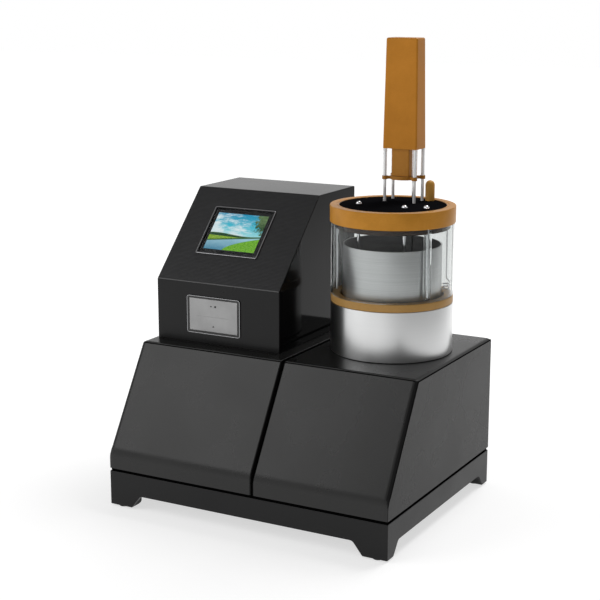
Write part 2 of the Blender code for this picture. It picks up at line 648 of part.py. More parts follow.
def build_lid(looks):
    bath = BATH
    edge = MM
    profile = [(RING_RADIUS, RING_BOTTOM), (RING_RADIUS, RING_TOP - edge), (RING_RADIUS - edge, RING_TOP)]
    profile += [(RING_INNER, RING_TOP), (RING_INNER, PLATE_BOTTOM - GAP)]
    profile += [(LEDGE_INNER, PLATE_BOTTOM - GAP), (LEDGE_INNER, RING_BOTTOM)]
    turned("top_ring", profile, bath, BIG, looks["bakelite"])
    plate = rod("lid_plate", RING_INNER - GAP, PLATE_BOTTOM, PLATE_TOP, bath, looks["black_plastic"], BIG)
    plug = rod("lid_plug", PLUG_RADIUS, PLUG_BOTTOM, RING_BOTTOM - GAP, bath, looks["black_plastic"], BIG)
    through = [("shaft", SHAFT, SHAFT_RADIUS + 0.5 * MM)]
    through += [(f"stud {i + 1}", from_bath(offset), 2.3 * MM) for i, offset in enumerate(STUD_OFFSETS)]
    for name, centre, radius in through:
        for disc in (plate, plug):
            low, high = PLUG_BOTTOM - MM, PLATE_TOP + MM
            cut(disc, rod(f"{disc.name} {name} hole", radius, low, high, centre, segments=HOLE))
    low, high = PLATE_BOTTOM - MM, PLATE_TOP + MM
    for i, centre in enumerate(post_centres()):
        cut(plate, rod(f"plate post {i + 1} hole", POST_RADIUS + 2 * GAP, low, high, centre, segments=HOLE))
    cut(plate, rod("peg hole", PEG_SHANK + 0.4 * MM, low, high, from_bath(PEG_OFFSET)))
    for name, offset, radius in (
        ("well", WELL_OFFSET, 6.8 * MM),
        ("level rod", LEVEL_ROD_OFFSET, 2.4 * MM),
        ("coil", COIL_OFFSET, 2 * MM),
    ):
        cut(plug, rod(f"plug {name} hole", radius, PLUG_BOTTOM - MM, RING_TOP, from_bath(offset)))


def build_lid_studs(looks):
    """Domed nut on the plate, a thin shank through the lid and a standoff down to the can's floor."""
    top = PLATE_TOP + GAP
    rise = NUT_HEIGHT - NUT_COLLAR
    dome = [(NUT_RADIUS * math.cos(a), top + NUT_COLLAR + rise * math.sin(a))
            for a in (math.radians(22.5 * i) for i in range(4))]
    foot = CAN_BOTTOM + 3 * MM + GAP
    shank, standoff = 2 * MM, 2.6 * MM
    profile = [(0, foot), (standoff, foot), (standoff, PLUG_BOTTOM - GAP), (shank, PLUG_BOTTOM - GAP)]
    profile += [(shank, top), (NUT_RADIUS, top), *dome, (0, top + NUT_HEIGHT)]
    for i, offset in enumerate(STUD_OFFSETS):
        turned(f"lid_stud_{i + 1}", profile, from_bath(offset), SMALL, looks["chrome"])


def build_lid_hangings(looks):
    bath = BATH
    floor = CAN_BOTTOM + 3 * MM
    inner = CAN_RADIUS - 2.5 * MM
    profile = [(0, CAN_BOTTOM), (CAN_RADIUS - MM, CAN_BOTTOM), (CAN_RADIUS, CAN_BOTTOM + MM)]
    profile += [(CAN_RADIUS, CAN_TOP), (inner, CAN_TOP), (inner, floor), (0, floor)]
    turned("inner_can", profile, bath, BIG, looks["turned_aluminium"])
    top = RING_BOTTOM - GAP
    low, outer, wall = 354 * MM, 6.25 * MM, 1.2 * MM
    profile = test_tube(outer, outer - wall, low, top)
    turned("sensor_well", profile, from_bath(WELL_OFFSET), 16, looks["glass"])
    rod("temperature_probe", 2.75 * MM, low + 4 * MM, top, from_bath(WELL_OFFSET), looks["stainless"])
    rod("level_rod", 2 * MM, 358 * MM, top, from_bath(LEVEL_ROD_OFFSET), looks["stainless"])
    build_heater_coil(looks, top)


def test_tube(outer, inner, low, top):
    """Profile of a round-bottomed tube, open at the top."""
    centre = low + outer
    arc = [math.radians(-90 + 22.5 * i) for i in range(1, 5)]
    profile = [(0, low)]
    profile += [(outer * math.cos(a), centre + outer * math.sin(a)) for a in arc]
    profile += [(outer, top), (inner, top)]
    profile += [(inner * math.cos(a), centre + inner * math.sin(a)) for a in reversed(arc)]
    profile += [(0, centre - inner)]
    return profile


def build_heater_coil(looks, top):
    centre = from_bath(COIL_OFFSET)
    turns, steps, radius, low, high = 3, 12, 5 * MM, 355.8 * MM, 369 * MM
    points = []
    for i in range(turns * steps + 1):
        share = i / (turns * steps)
        angle = math.tau * turns * share
        points.append((radius * math.cos(angle), radius * math.sin(angle), low + (high - low) * share))
    points += [(3 * MM, 0.5 * MM, high + 3.5 * MM), (0, 0, high + 9 * MM), (0, 0, top)]
    curve = bpy.data.curves.new("heater_coil", "CURVE")
    curve.dimensions = "3D"
    curve.bevel_depth = 1.1 * MM
    curve.bevel_resolution = 2
    curve.use_fill_caps = True
    spline = curve.splines.new("POLY")
    spline.points.add(len(points) - 1)
    for point, place in zip(spline.points, points):
        point.co = (*place, 1)
    curve.materials.append(looks["stainless"])
    coil = bpy.data.objects.new("heater_coil", curve)
    coil.location = centre
    bpy.context.scene.collection.objects.link(coil)


def post_centres():
    return [TOWER + Vector((x * POST_X, y * POST_Y, 0)) for y in (-1, 1) for x in (-1, 1)]


def build_tower(looks):
    below = HOUSING_BOTTOM - GAP
    flange = rod("post_flange", FLANGE_RADIUS, FLANGE_BOTTOM, FLANGE_TOP, TOWER, looks["bakelite"], MEDIUM)
    limbs = []
    for i, centre in enumerate(post_centres()):
        number = i + 1
        rod(f"post_{number}", POST_RADIUS, PLATE_BOTTOM - 6 * MM, below, centre, looks["chrome"])
        tube(f"sleeve_{number}", SLEEVE_RADIUS, POST_RADIUS + 0.4 * MM, FLANGE_TOP + GAP, below, centre,
             looks["glass"], 16)
        limbs.append(rod(f"flange ear {number}", EAR_RADIUS, FLANGE_BOTTOM, FLANGE_TOP, centre))
        limbs.append(flange_arm(number, centre))
    unite(flange, *limbs)
    low, high = FLANGE_BOTTOM - MM, FLANGE_TOP + MM
    for i, centre in enumerate(post_centres()):
        cut(flange, rod(f"flange hole {i + 1}", POST_RADIUS + 2 * GAP, low, high, centre, segments=HOLE))
    cut(flange, rod("flange shaft hole", 2.6 * MM, low, high, SHAFT))
    build_neck(looks)
    build_motor_housing(looks)


def flange_arm(number, centre):
    """A bar, 6 mm wide, from the flange's middle out to one post."""
    along = (centre - TOWER).to_2d()
    across = Vector((-along.y, along.x)).normalized() * 3 * MM
    corners = [-across, along - across, along + across, across]
    outline = [tuple(TOWER.to_2d() + corner) for corner in corners]
    return prism(f"flange arm {number}", outline, "Z", FLANGE_BOTTOM + 0.5 * MM, FLANGE_TOP - 0.5 * MM)


def around_tower(half_x, half_y):
    return rectangle(TOWER.x - half_x, TOWER.x + half_x, TOWER.y - half_y, TOWER.y + half_y)


def build_neck(looks):
    """A square tube whose top plate closes the motor housing's mouth."""
    low, shoulder, top = FLANGE_TOP + GAP, HOUSING_BOTTOM, HOUSING_BOTTOM + 3 * MM
    outline = rounded(around_tower(*NECK_HALF), 2 * MM, 2)
    neck = prism("motor_neck", outline, "Z", low, shoulder, looks["bakelite"])
    plate_x, plate_y = (half - HOUSING_WALL - 0.5 * MM for half in HOUSING_HALF)
    plate = rounded(around_tower(plate_x, plate_y), 3 * MM)
    unite(neck, prism("neck plate", plate, "Z", shoulder - 0.05 * MM, top))
    inner = [half - 1.5 * MM for half in NECK_HALF]
    cut(neck, prism("neck hollow", around_tower(*inner), "Z", low - MM, shoulder - MM))
    cut(neck, rod("neck shaft hole", 2.6 * MM, shoulder - 2 * MM, top + MM, SHAFT))


def tapered_box(name, half_x, half_y, taper, low, high, material=None):
    outlines = (rounded(around_tower(half_x, half_y), 3 * MM, 3),
                rounded(around_tower(half_x - taper, half_y - taper), 3 * MM, 3))
    shape = bmesh.new()
    bottom = [shape.verts.new((x, y, low)) for x, y in outlines[0]]
    top = [shape.verts.new((x, y, high)) for x, y in outlines[1]]
    shape.faces.new(bottom)
    shape.faces.new(top)
    count = len(bottom)
    for i in range(count):
        j = (i + 1) % count
        shape.faces.new((bottom[i], bottom[j], top[j], top[i]))
    return add_object(name, shape, material)


def build_motor_housing(looks):
    low, high, wall = HOUSING_BOTTOM, HOUSING_TOP, HOUSING_WALL
    shell = tapered_box("motor_housing", *HOUSING_HALF, HOUSING_TAPER, low, high, looks["bakelite"])
    half_x, half_y = (half - wall for half in HOUSING_HALF)
    cut(shell, tapered_box("motor space", half_x, half_y, HOUSING_TAPER, low - MM, high - wall))
    gear_low = low + 3 * MM + GAP
    gearbox = prism("stirrer_motor", around_tower(23 * MM, 14 * MM), "Z", gear_low, gear_low + 22 * MM,
                    looks["turned_aluminium"])
    low, high = gear_low + 21 * MM, gear_low + 74 * MM
    unite(gearbox, rod("motor can", 12 * MM, low, high, TOWER, segments=MEDIUM))


def build_stirrer(looks):
    low = CAN_BOTTOM + 18 * MM
    rod("stirrer_shaft", SHAFT_RADIUS, low, HOUSING_BOTTOM + 3 * MM, SHAFT, looks["chrome"])
    hub_low, hub_high = low + MM, low + 10 * MM
    impeller = rod("impeller", 4 * MM, hub_low, hub_high, SHAFT, looks["chrome"])
    for i in range(3):
        blade = block(f"impeller blade {i + 1}", (2.5 * MM, -0.7 * MM, hub_low + MM),
                      (IMPELLER_RADIUS, 0.7 * MM, hub_high - MM), location=SHAFT,
                      rotation=(0, 0, math.tau * i / 3))
        unite(impeller, blade)
    cut(impeller, rod("impeller bore", SHAFT_RADIUS + GAP, hub_low - MM, hub_high + MM, SHAFT))


def build_filler_plug(looks):
    head, low, shoulder = PEG_RADIUS, 473 * MM, PLATE_TOP + GAP
    angles = [math.radians(18 * i) for i in range(5)]
    crown = [(head * math.cos(a), PEG_TOP - head + head * math.sin(a)) for a in angles]
    profile = [(0, low), (PEG_SHANK, low), (PEG_SHANK, shoulder), (head, shoulder), *crown, (0, PEG_TOP)]
    turned("filler_plug", profile, from_bath(PEG_OFFSET), 16, looks["bakelite"])


def build():
    clear_scene()
    looks = make_materials()
    build_plinth(looks)
    build_foot_pads(looks)
    build_housings(looks)
    build_power_inlet(looks)
    build_power_switch(looks)
    build_fan(looks)
    build_inner_units(looks)
    build_display_housing(looks)
    build_screen(looks)
    build_printer_frame(looks)
    build_printer_door(looks)
    build_printer_inside(looks)
    build_bath_vessel(looks)
    build_lid(looks)
    build_lid_studs(looks)
    build_lid_hangings(looks)
    build_tower(looks)
    build_stirrer(looks)
    build_filler_plug(looks)


build()
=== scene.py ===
"""Looks of the bench-top laboratory analyser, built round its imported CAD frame. Metres, +Z up."""
import json
import math

import bmesh
import bpy
from mathutils import Matrix, Vector


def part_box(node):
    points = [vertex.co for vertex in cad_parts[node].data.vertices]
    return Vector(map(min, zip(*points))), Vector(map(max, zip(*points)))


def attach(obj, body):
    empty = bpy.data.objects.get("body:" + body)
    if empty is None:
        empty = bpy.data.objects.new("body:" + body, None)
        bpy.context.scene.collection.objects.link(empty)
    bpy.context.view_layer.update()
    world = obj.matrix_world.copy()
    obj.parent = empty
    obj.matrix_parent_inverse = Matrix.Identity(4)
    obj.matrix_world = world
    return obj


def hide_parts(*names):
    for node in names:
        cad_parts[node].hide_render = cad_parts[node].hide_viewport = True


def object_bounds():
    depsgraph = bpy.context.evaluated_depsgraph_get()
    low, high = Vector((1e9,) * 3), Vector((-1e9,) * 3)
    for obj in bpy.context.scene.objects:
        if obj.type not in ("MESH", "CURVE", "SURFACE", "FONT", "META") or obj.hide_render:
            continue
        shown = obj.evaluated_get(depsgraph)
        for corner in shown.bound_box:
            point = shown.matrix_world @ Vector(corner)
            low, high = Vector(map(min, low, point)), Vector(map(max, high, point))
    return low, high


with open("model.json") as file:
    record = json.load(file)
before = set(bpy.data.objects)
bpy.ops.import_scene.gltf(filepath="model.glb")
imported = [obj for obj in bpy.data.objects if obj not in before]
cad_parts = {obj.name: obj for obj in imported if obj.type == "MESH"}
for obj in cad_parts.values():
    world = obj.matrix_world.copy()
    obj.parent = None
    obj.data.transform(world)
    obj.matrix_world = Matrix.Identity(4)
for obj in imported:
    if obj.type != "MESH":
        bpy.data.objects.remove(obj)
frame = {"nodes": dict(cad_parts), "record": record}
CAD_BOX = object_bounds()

MM = 0.001
NODES = frame["nodes"]
RECORD = frame["record"]
BODY = {node: body for body, members in RECORD["behaviour"]["bodies"].items() for node in members}

# Camera, aimed at the middle of the object
CAMERA_AZIMUTH = 28.85
CAMERA_ELEVATION = 12.58
CAMERA_DISTANCE = 2.43
CAMERA_AIM = Vector((-0.047, 0.0746, 0.3158))
CAMERA_LENS = 85.44

# How bright the studio is towards the right, against the left
RIGHT_SHADE = 0.44

# Lower covers: where the slope meets the top, where it ends below, and the outline's round corners, each
# (number, radius, steps): the top rear one, the one at the top of the slope and the soft crease below it
SLOPE_TOP_Y = -98.9 * MM
CREASE_Z = 91.4 * MM
COVER_CORNERS = ((2, 4 * MM, 4), (3, 6 * MM, 6), (4, 40 * MM, 8))
SHEET = 3 * MM
CABLE_HOLE, CABLE_HOLE_RADIUS = (-124 * MM, 120 * MM), 15 * MM

# Where the front and top curve in to the sides: how deep, over what length on the outer side and at the gap
# between the covers, the height over which this fades round the crease, and the share left below it
BEND_DEPTH = 4.2 * MM
OUTER_BEND, GAP_BEND = 9 * MM, 3 * MM
BEND_FADE, LEAST_BEND = 24 * MM, 0.25
SQUARE_TURN = 0.8

# Paint, by a face's normal. A round edge is dark where it starts and ends (painted shade), and bright between
# (a painted highlight); bend paints a lighter shade where a cover turns towards its side.
COVER_PAINT = {
    "edge": lambda n: 0.72 < abs(n.x) < 0.99 or (abs(n.x) < 0.2 and (0.56 < abs(n.z) < 0.76
                                                                     or 0.94 < abs(n.z) < 0.98)),
    "bend": lambda n: 0.2 < abs(n.x) <= 0.72,
    "crease": lambda n: abs(n.x) < 0.2 and 0.76 <= n.z <= 0.94,
    "module_side": lambda n: n.x > 0.99,
}
# Display housing paint, by a face's normal; crease is a painted highlight on the rounded edge between the
# slope and the front.
CASE_PAINT = {
    "film": lambda n: n.y < -0.3 and n.z > 0.4,
    "crease": lambda n: n.y < -0.8 and 0.3 < n.z < 0.66,
    "case_side": lambda n: abs(n.x) > 0.9,
    "case_top": lambda n: n.z > 0.98,
}

# Rear: node, look and rounding of the moulded parts; how far screws sit from a panel's edges
REAR_FITTINGS = (
    ("power_inlet", "black_plastic", 0.3 * MM), ("switch_frame", "black_plastic", 0.3 * MM),
    ("power_switch", "switch", 0.2 * MM), ("fan_frame", "black_plastic", 0.4 * MM),
    ("fan_rotor", "black_plastic", 0.2 * MM),
)
SCREW_INSETS = {"rear_panel_left": 8 * MM, "rear_panel_right": 8 * MM, "display_rear_cover": 8 * MM,
                "fan_guard": 6.5 * MM}

# Display: half sizes of the picture and the panel, and the shape of the glass and the bezel
IMAGE = (49 * MM, 37.4 * MM)
PANEL, PANEL_THICK = (52.2 * MM, 41 * MM), 6 * MM
GLASS_HEIGHT_TO_WIDTH = 90.8 / 111.8
BEZEL_HEIGHT_TO_WIDTH = 97.4 / 118.4

# Bath, lid and tower
GAP = 0.3 * MM
NUT_RADIUS, NUT_HEIGHT = 5.2 * MM, 3 * MM
STUD_HOLE, SHAFT_HOLE = 2.3 * MM, 2.5 * MM
STUDS = [f"lid_stud_{i}" for i in range(1, 4)]
POSTS = [f"post_{i}" for i in range(1, 5)]

# Segments round a turned piece, by its size
FINE, ROUND, PIN = 160, 64, 32

# Angles from which edges look sharp, in degrees, on plain pieces and on rounded ones
SHARP, ROUNDED_SHARP = 38, 60
NEARLY_STRAIGHT = math.radians(85)
QUARTER = math.radians(90)
UPRIGHT = (QUARTER, 0, 0)
ON_AXIS = 1e-9


# ---- material nodes

class Nodes:
    """A node tree, with short names for the nodes that the looks are made of."""

    def __init__(self, tree):
        self.tree = tree

    def give(self, socket, value):
        """Link a socket to another node's output, or set its value."""
        if isinstance(value, bpy.types.NodeSocket):
            self.tree.links.new(value, socket)
        else:
            socket.default_value = value

    def add(self, kind, inputs=None, **settings):
        item = self.tree.nodes.new(kind)
        for name, value in settings.items():
            setattr(item, name, value)
        for name, value in (inputs or {}).items():
            self.give(item.inputs[name], value)
        return item

    def calc(self, operation, *values, clamp=False):
        item = self.add("ShaderNodeMath", operation=operation, use_clamp=clamp)
        for socket, value in zip(item.inputs, values):
            self.give(socket, value)
        return item.outputs[0]

    def plus(self, first, second):
        return self.calc("ADD", first, second)

    def times(self, first, second):
        return self.calc("MULTIPLY", first, second)

    def mixed(self, first, first_share, second, second_share):
        return self.plus(self.times(first, first_share), self.times(second, second_share))

    def split(self, vector):
        return self.add("ShaderNodeSeparateXYZ", {"Vector": vector}).outputs

    def grey(self, value):
        return self.add("ShaderNodeCombineXYZ", {"X": value, "Y": value, "Z": value}).outputs[0]

    def ramp(self, factor, *stops):
        """A colour ramp with stops (place, colour)."""
        item = self.add("ShaderNodeValToRGB", {"Fac": factor})
        points = item.color_ramp.elements
        while len(points) < len(stops):
            points.new(0.5)
        for point, (place, colour) in zip(points, stops):
            point.position = place
            point.color = (*colour, 1)
        return item.outputs[0]

    def between(self, value, low, high, to_low=0.0, to_high=1.0, smooth=False):
        """Map low..high to to_low..to_high, and hold the ends."""
        kind = "SMOOTHSTEP" if smooth else "LINEAR"
        values = {"Value": value, "From Min": low, "From Max": high, "To Min": to_low, "To Max": to_high}
        return self.add("ShaderNodeMapRange", values, interpolation_type=kind).outputs[0]

    def blend(self, share, first, second):
        """The first colour where the share is 0, the second where it is 1."""
        item = self.add("ShaderNodeMix", data_type="RGBA")
        for name, value in (("Factor", share), ("A", first), ("B", second)):
            socket = [s for s in item.inputs if s.name == name and s.enabled][0]
            self.give(socket, (*value, 1) if isinstance(value, tuple) else value)
        return [s for s in item.outputs if s.enabled][0]


class Surface(Nodes):
    """A new material. Values that are even all over are set on its Principled shader's own sockets."""

    def __init__(self, name, **even):
        self.material = bpy.data.materials.new(name)
        self.material.use_nodes = True
        super().__init__(self.material.node_tree)
        self.shader = self.tree.nodes["Principled BSDF"]
        for socket, value in even.items():
            self.shader.inputs[socket.replace("_", " ")].default_value = value
        self.place = self.add("ShaderNodeTexCoord").outputs["Object"]

    def finish(self, **varied):
        """Link the values that vary over the surface, and give back the material."""
        for socket, value in varied.items():
            self.tree.links.new(value, self.shader.inputs[socket.replace("_", " ")])
        return self.material

    def stretched(self, factors, vector=None):
        vector = self.place if vector is None else vector
        return self.add("ShaderNodeMapping", {"Vector": vector, "Scale": factors}).outputs[0]

    def noise(self, scale, detail=3.0, roughness=0.5, vector=None):
        vector = self.place if vector is None else vector
        values = {"Vector": vector, "Scale": scale, "Detail": detail, "Roughness": roughness}
        return self.add("ShaderNodeTexNoise", values).outputs[0]

    def line_noise(self, along, scale, detail=2.0):
        values = {"W": along, "Scale": scale, "Detail": detail}
        return self.add("ShaderNodeTexNoise", values, noise_dimensions="1D").outputs[0]

    def axis_distance(self):
        """Distance from the object's Z axis plus height, so that lines run round both walls and faces."""
        x, y, z = self.split(self.place)
        radius = self.calc("SQRT", self.plus(self.calc("POWER", x, 2.0), self.calc("POWER", y, 2.0)))
        return self.plus(radius, z)

    def bump(self, height, distance, strength=1.0, normal=None):
        values = {"Height": height, "Distance": distance, "Strength": strength}
        if normal is not None:
            values["Normal"] = normal
        return self.add("ShaderNodeBump", values).outputs[0]


# ---- materials

def enamel(name, dark, light, rough=(0.36, 0.46), grain=1.0, specular=0.35):
    """Satin paint with a fine stippled grain and faint cloudy handling marks."""
    nodes = Surface(name, Specular_IOR_Level=specular)
    cloud = nodes.noise(9.0, 4.0)
    stipple = nodes.noise(900.0, 2.0)
    speck = nodes.noise(420.0, 3.0, 0.65)
    relief = nodes.bump(stipple, 0.00012, 0.6 * grain)
    return nodes.finish(
        Base_Color=nodes.ramp(nodes.mixed(cloud, 0.6, speck, 0.4), (0.32, dark), (0.68, light)),
        Roughness=nodes.between(cloud, 0.3, 0.7, *rough),
        Normal=nodes.bump(speck, 0.0003, 0.35 * grain, relief))


def lined_film(name, dark, light, pitch=3.6 * MM):
    """Black instrument film with fine level lines pressed into it."""
    nodes = Surface(name, Specular_IOR_Level=0.3)
    x, y, z = nodes.split(nodes.place)
    waves = nodes.calc("SINE", nodes.times(nodes.plus(y, z), math.tau / pitch))
    flecks = nodes.noise(1.0, 3.0, 0.6, nodes.stretched((70.0, 900.0, 900.0)))
    level = nodes.plus(nodes.between(waves, -1, 1, 0, 0.6), nodes.times(flecks, 0.55))
    return nodes.finish(
        Base_Color=nodes.ramp(level, (0.25, dark), (0.95, light)),
        Roughness=nodes.between(flecks, 0.3, 0.7, 0.3, 0.44),
        Normal=nodes.bump(level, 0.0003, 0.7))


def moulded_plastic(name, dark, light, rough=0.42):
    """Plastic with a fine moulded grain."""
    nodes = Surface(name)
    grain = nodes.noise(700.0, 3.0)
    return nodes.finish(
        Base_Color=nodes.ramp(nodes.noise(25.0, 3.0), (0.3, dark), (0.7, light)),
        Roughness=nodes.between(grain, 0.3, 0.7, rough - 0.05, rough + 0.07),
        Normal=nodes.bump(grain, 0.00015, 0.5))


def phenolic(name, deep, warm, pale):
    """Cloth-filled phenolic: warm mottling, fine fibres and the lathe's faint rings."""
    nodes = Surface(name, Specular_IOR_Level=0.22, Specular_Tint=(1.0, 0.75, 0.45, 1.0))
    mottle = nodes.noise(26.0, 5.0, 0.6)
    fibres = nodes.noise(1.0, 3.0, 0.65, nodes.stretched((260.0, 260.0, 900.0)))
    rings = nodes.line_noise(nodes.axis_distance(), 1400.0)
    tone = nodes.mixed(mottle, 0.7, fibres, 0.3)
    relief = nodes.bump(rings, 0.00008, 0.5)
    return nodes.finish(
        Base_Color=nodes.ramp(tone, (0.3, deep), (0.5, warm), (0.74, pale)),
        Roughness=nodes.between(mottle, 0.3, 0.7, 0.3, 0.44),
        Normal=nodes.bump(fibres, 0.0001, 0.3, relief))


def turned_metal(name, dark, light, rough, scale, depth, strength=0.5, stretch=0.0):
    """Metal with lathe lines round the object's own Z axis; its highlights can stretch across the lines."""
    nodes = Surface(name, Metallic=1.0, Anisotropic=stretch, Anisotropic_Rotation=0.25)
    along = nodes.axis_distance()
    coarse, fine = nodes.line_noise(along, scale, 1.0), nodes.line_noise(along, scale * 4.3, 2.0)
    lines = nodes.mixed(coarse, 0.5, fine, 0.5)
    smear = nodes.noise(1.0, 3.0, 0.5, nodes.stretched((6.0, 6.0, 160.0)))
    tone = nodes.mixed(lines, 0.65, smear, 0.35)
    if stretch:
        around = nodes.add("ShaderNodeTangent", direction_type="RADIAL", axis="Z")
        nodes.finish(Tangent=around.outputs[0])
    return nodes.finish(
        Base_Color=nodes.ramp(tone, (0.35, dark), (0.65, light)),
        Roughness=nodes.between(tone, 0.35, 0.65, *rough),
        Normal=nodes.bump(lines, depth, strength))


def polished_metal(name, colour, rough=(0.06, 0.16), metal=1.0):
    """Bright metal with faint smudges."""
    nodes = Surface(name, Metallic=metal)
    smudge = nodes.noise(30.0, 3.0)
    return nodes.finish(
        Base_Color=nodes.ramp(smudge, (0.3, tuple(0.93 * c for c in colour)), (0.7, colour)),
        Roughness=nodes.between(smudge, 0.3, 0.7, *rough),
        Normal=nodes.bump(nodes.noise(1500.0, 2.0), 0.00001, 0.1))


def clear_glass(name, colour, bend=1.02, gloss=1.25):
    """Thin clear wall: it hardly bends light, and its gloss comes from a clear coat."""
    nodes = Surface(name, Transmission_Weight=1.0, IOR=bend, Coat_Weight=1.0, Coat_Roughness=0.01,
                    Coat_IOR=gloss)
    streak = nodes.noise(1.0, 3.0, 0.5, nodes.stretched((14.0, 14.0, 5.0)))
    return nodes.finish(
        Base_Color=nodes.ramp(streak, (0.3, tuple(0.985 * c for c in colour)), (0.7, colour)),
        Roughness=nodes.between(streak, 0.35, 0.75, 0.0, 0.01))


def gloss_black(name, colour, rough, specular):
    """Polished dark surface with a thin film of handling marks."""
    nodes = Surface(name, Specular_IOR_Level=specular)
    film = nodes.noise(40.0, 5.0)
    return nodes.finish(
        Base_Color=nodes.ramp(film, (0.3, tuple(0.8 * c for c in colour)), (0.7, colour)),
        Roughness=nodes.between(film, 0.3, 0.7, *rough),
        Normal=nodes.bump(film, 0.0001, 0.1))


def rubber(name):
    nodes = Surface(name, Specular_IOR_Level=0.3)
    grain = nodes.noise(650.0, 4.0)
    return nodes.finish(
        Base_Color=nodes.ramp(grain, (0.3, (0.012, 0.012, 0.012)), (0.7, (0.03, 0.03, 0.03))),
        Roughness=nodes.between(grain, 0.3, 0.7, 0.7, 0.9),
        Normal=nodes.bump(grain, 0.0002, 0.6))


def circuit(name):
    """Solder mask with buried tracks."""
    nodes = Surface(name, Coat_Weight=0.3)
    cells = nodes.add("ShaderNodeTexVoronoi", {"Vector": nodes.place, "Scale": 140.0}, distance="MANHATTAN")
    tracks = nodes.between(cells.outputs["Distance"], 0.2, 0.6)
    return nodes.finish(
        Base_Color=nodes.ramp(tracks, (0.3, (0.01, 0.09, 0.035)), (0.6, (0.03, 0.2, 0.08))),
        Roughness=nodes.between(tracks, 0, 1, 0.35, 0.5),
        Normal=nodes.bump(tracks, 0.0001, 0.5))


def wound_paper(name):
    nodes = Surface(name)
    layers = nodes.noise(1.0, 2.0, 0.5, nodes.stretched((40.0, 1800.0, 1800.0)))
    return nodes.finish(
        Base_Color=nodes.ramp(layers, (0.3, (0.7, 0.7, 0.68)), (0.7, (0.9, 0.9, 0.88))),
        Roughness=nodes.between(layers, 0, 1, 0.75, 0.9),
        Normal=nodes.bump(layers, 0.0001, 0.4))


def landscape_screen(name, half_width, half_height):
    """A lit picture of open country: sky, clouds, hills, a river, a meadow and leaves, inside a black border.

    The picture is built from the back to the front. Heights and places in it run from 0 to 1.
    """
    nodes = Surface(name, Roughness=0.25, Base_Color=(0.004, 0.004, 0.005, 1), Emission_Strength=0.8)
    x, y, z = nodes.split(nodes.place)
    across = nodes.between(x, -half_width, half_width)
    up = nodes.between(y, -half_height, half_height)
    plane = nodes.add("ShaderNodeCombineXYZ", {"X": across, "Y": up}).outputs[0]
    soft = nodes.noise(1.0, 7.0, 0.68, nodes.stretched((2.6, 5.4, 1.0), plane))
    grass = nodes.noise(1.0, 4.0, 0.7, nodes.stretched((26.0, 60.0, 1.0), plane))
    leaves = nodes.noise(1.0, 5.0, 0.75, nodes.stretched((17.0, 13.0, 1.0), plane))

    def below(line, softness):
        """1 under a line, 0 over it."""
        return nodes.between(nodes.calc("SUBTRACT", up, line), -softness, softness, 1.0, 0.0, smooth=True)

    def inside(value, half):
        return nodes.calc("LESS_THAN", nodes.calc("ABSOLUTE", value), half)

    sky = nodes.ramp(up, (0.42, (0.36, 0.8, 0.85)), (0.66, (0.06, 0.56, 0.72)), (1.0, (0.01, 0.3, 0.52)))
    cover = nodes.calc("SUBTRACT", soft, nodes.times(across, 0.2))
    cover = nodes.calc("SUBTRACT", cover, nodes.times(up, 0.14))
    picture = nodes.blend(nodes.between(cover, 0.24, 0.46, smooth=True), sky, (0.82, 0.95, 0.98))

    roll = nodes.calc("SINE", nodes.calc("MULTIPLY_ADD", across, 5.2, 0.9))
    ridge = nodes.calc("MULTIPLY_ADD", roll, 0.028, 0.435)
    hills = nodes.ramp(grass, (0.35, (0.02, 0.07, 0.02)), (0.65, (0.12, 0.22, 0.04)))
    picture = nodes.blend(below(ridge, 0.012), picture, hills)

    trees = nodes.plus(ridge, nodes.calc("MULTIPLY_ADD", leaves, 0.09, -0.06))
    picture = nodes.blend(below(trees, 0.006), picture, (0.01, 0.06, 0.02))
    field = nodes.calc("MULTIPLY_ADD", across, -0.03, 0.385)
    meadow = nodes.ramp(grass, (0.36, (0.04, 0.2, 0.01)), (0.62, (0.42, 0.62, 0.06)))
    picture = nodes.blend(below(field, 0.01), picture, meadow)

    bank = nodes.calc("MULTIPLY_ADD", across, 0.17, 0.225)
    shade = nodes.ramp(grass, (0.3, (0.01, 0.06, 0.01)), (0.7, (0.05, 0.18, 0.02)))
    picture = nodes.blend(below(nodes.plus(bank, 0.035), 0.012), picture, shade)
    ripple = nodes.plus(up, nodes.times(soft, 0.3))
    water = nodes.ramp(ripple, (0.1, (0.04, 0.22, 0.36)), (0.5, (0.36, 0.64, 0.76)))
    picture = nodes.blend(below(bank, 0.012), picture, water)

    bend = nodes.calc("POWER", nodes.calc("SUBTRACT", across, 0.36, clamp=True), 0.55)
    shore = nodes.calc("MULTIPLY_ADD", bend, 0.5, -0.02)
    lawn = nodes.ramp(grass, (0.3, (0.03, 0.22, 0.01)), (0.7, (0.3, 0.68, 0.04)))
    picture = nodes.blend(below(shore, 0.014), picture, lawn)

    reach = nodes.times(nodes.between(across, 0.68, 0.98), nodes.between(up, 0.36, 0.72))
    crown = nodes.plus(nodes.times(reach, 0.42), leaves)
    foliage = nodes.ramp(soft, (0.35, (0.02, 0.07, 0.02)), (0.65, (0.16, 0.26, 0.1)))
    picture = nodes.blend(nodes.between(crown, 0.66, 0.72, smooth=True), picture, foliage)

    lit = nodes.times(inside(x, half_width), inside(y, half_height))
    return nodes.finish(Emission_Color=nodes.blend(lit, (0.003, 0.003, 0.004), picture))


# ---- outlines

def oblong(left, right, low, high):
    """Four corners: a flat rectangle, or the outline of a cylinder or a tube for turned()."""
    return [(left, low), (right, low), (right, high), (left, high)]


def rectangle(half_x, half_y):
    return oblong(-half_x, half_x, -half_y, half_y)


def circle(radius, count):
    angles = [math.tau * i / count for i in range(count)]
    return [(radius * math.cos(angle), radius * math.sin(angle)) for angle in angles]


def dome(radius, foot, rise, steps):
    """The outline of a dome from its foot to just before its top; a negative rise makes a bowl."""
    angles = [QUARTER * i / steps for i in range(steps)]
    return [(radius * math.cos(angle), foot + rise * math.sin(angle)) for angle in angles]


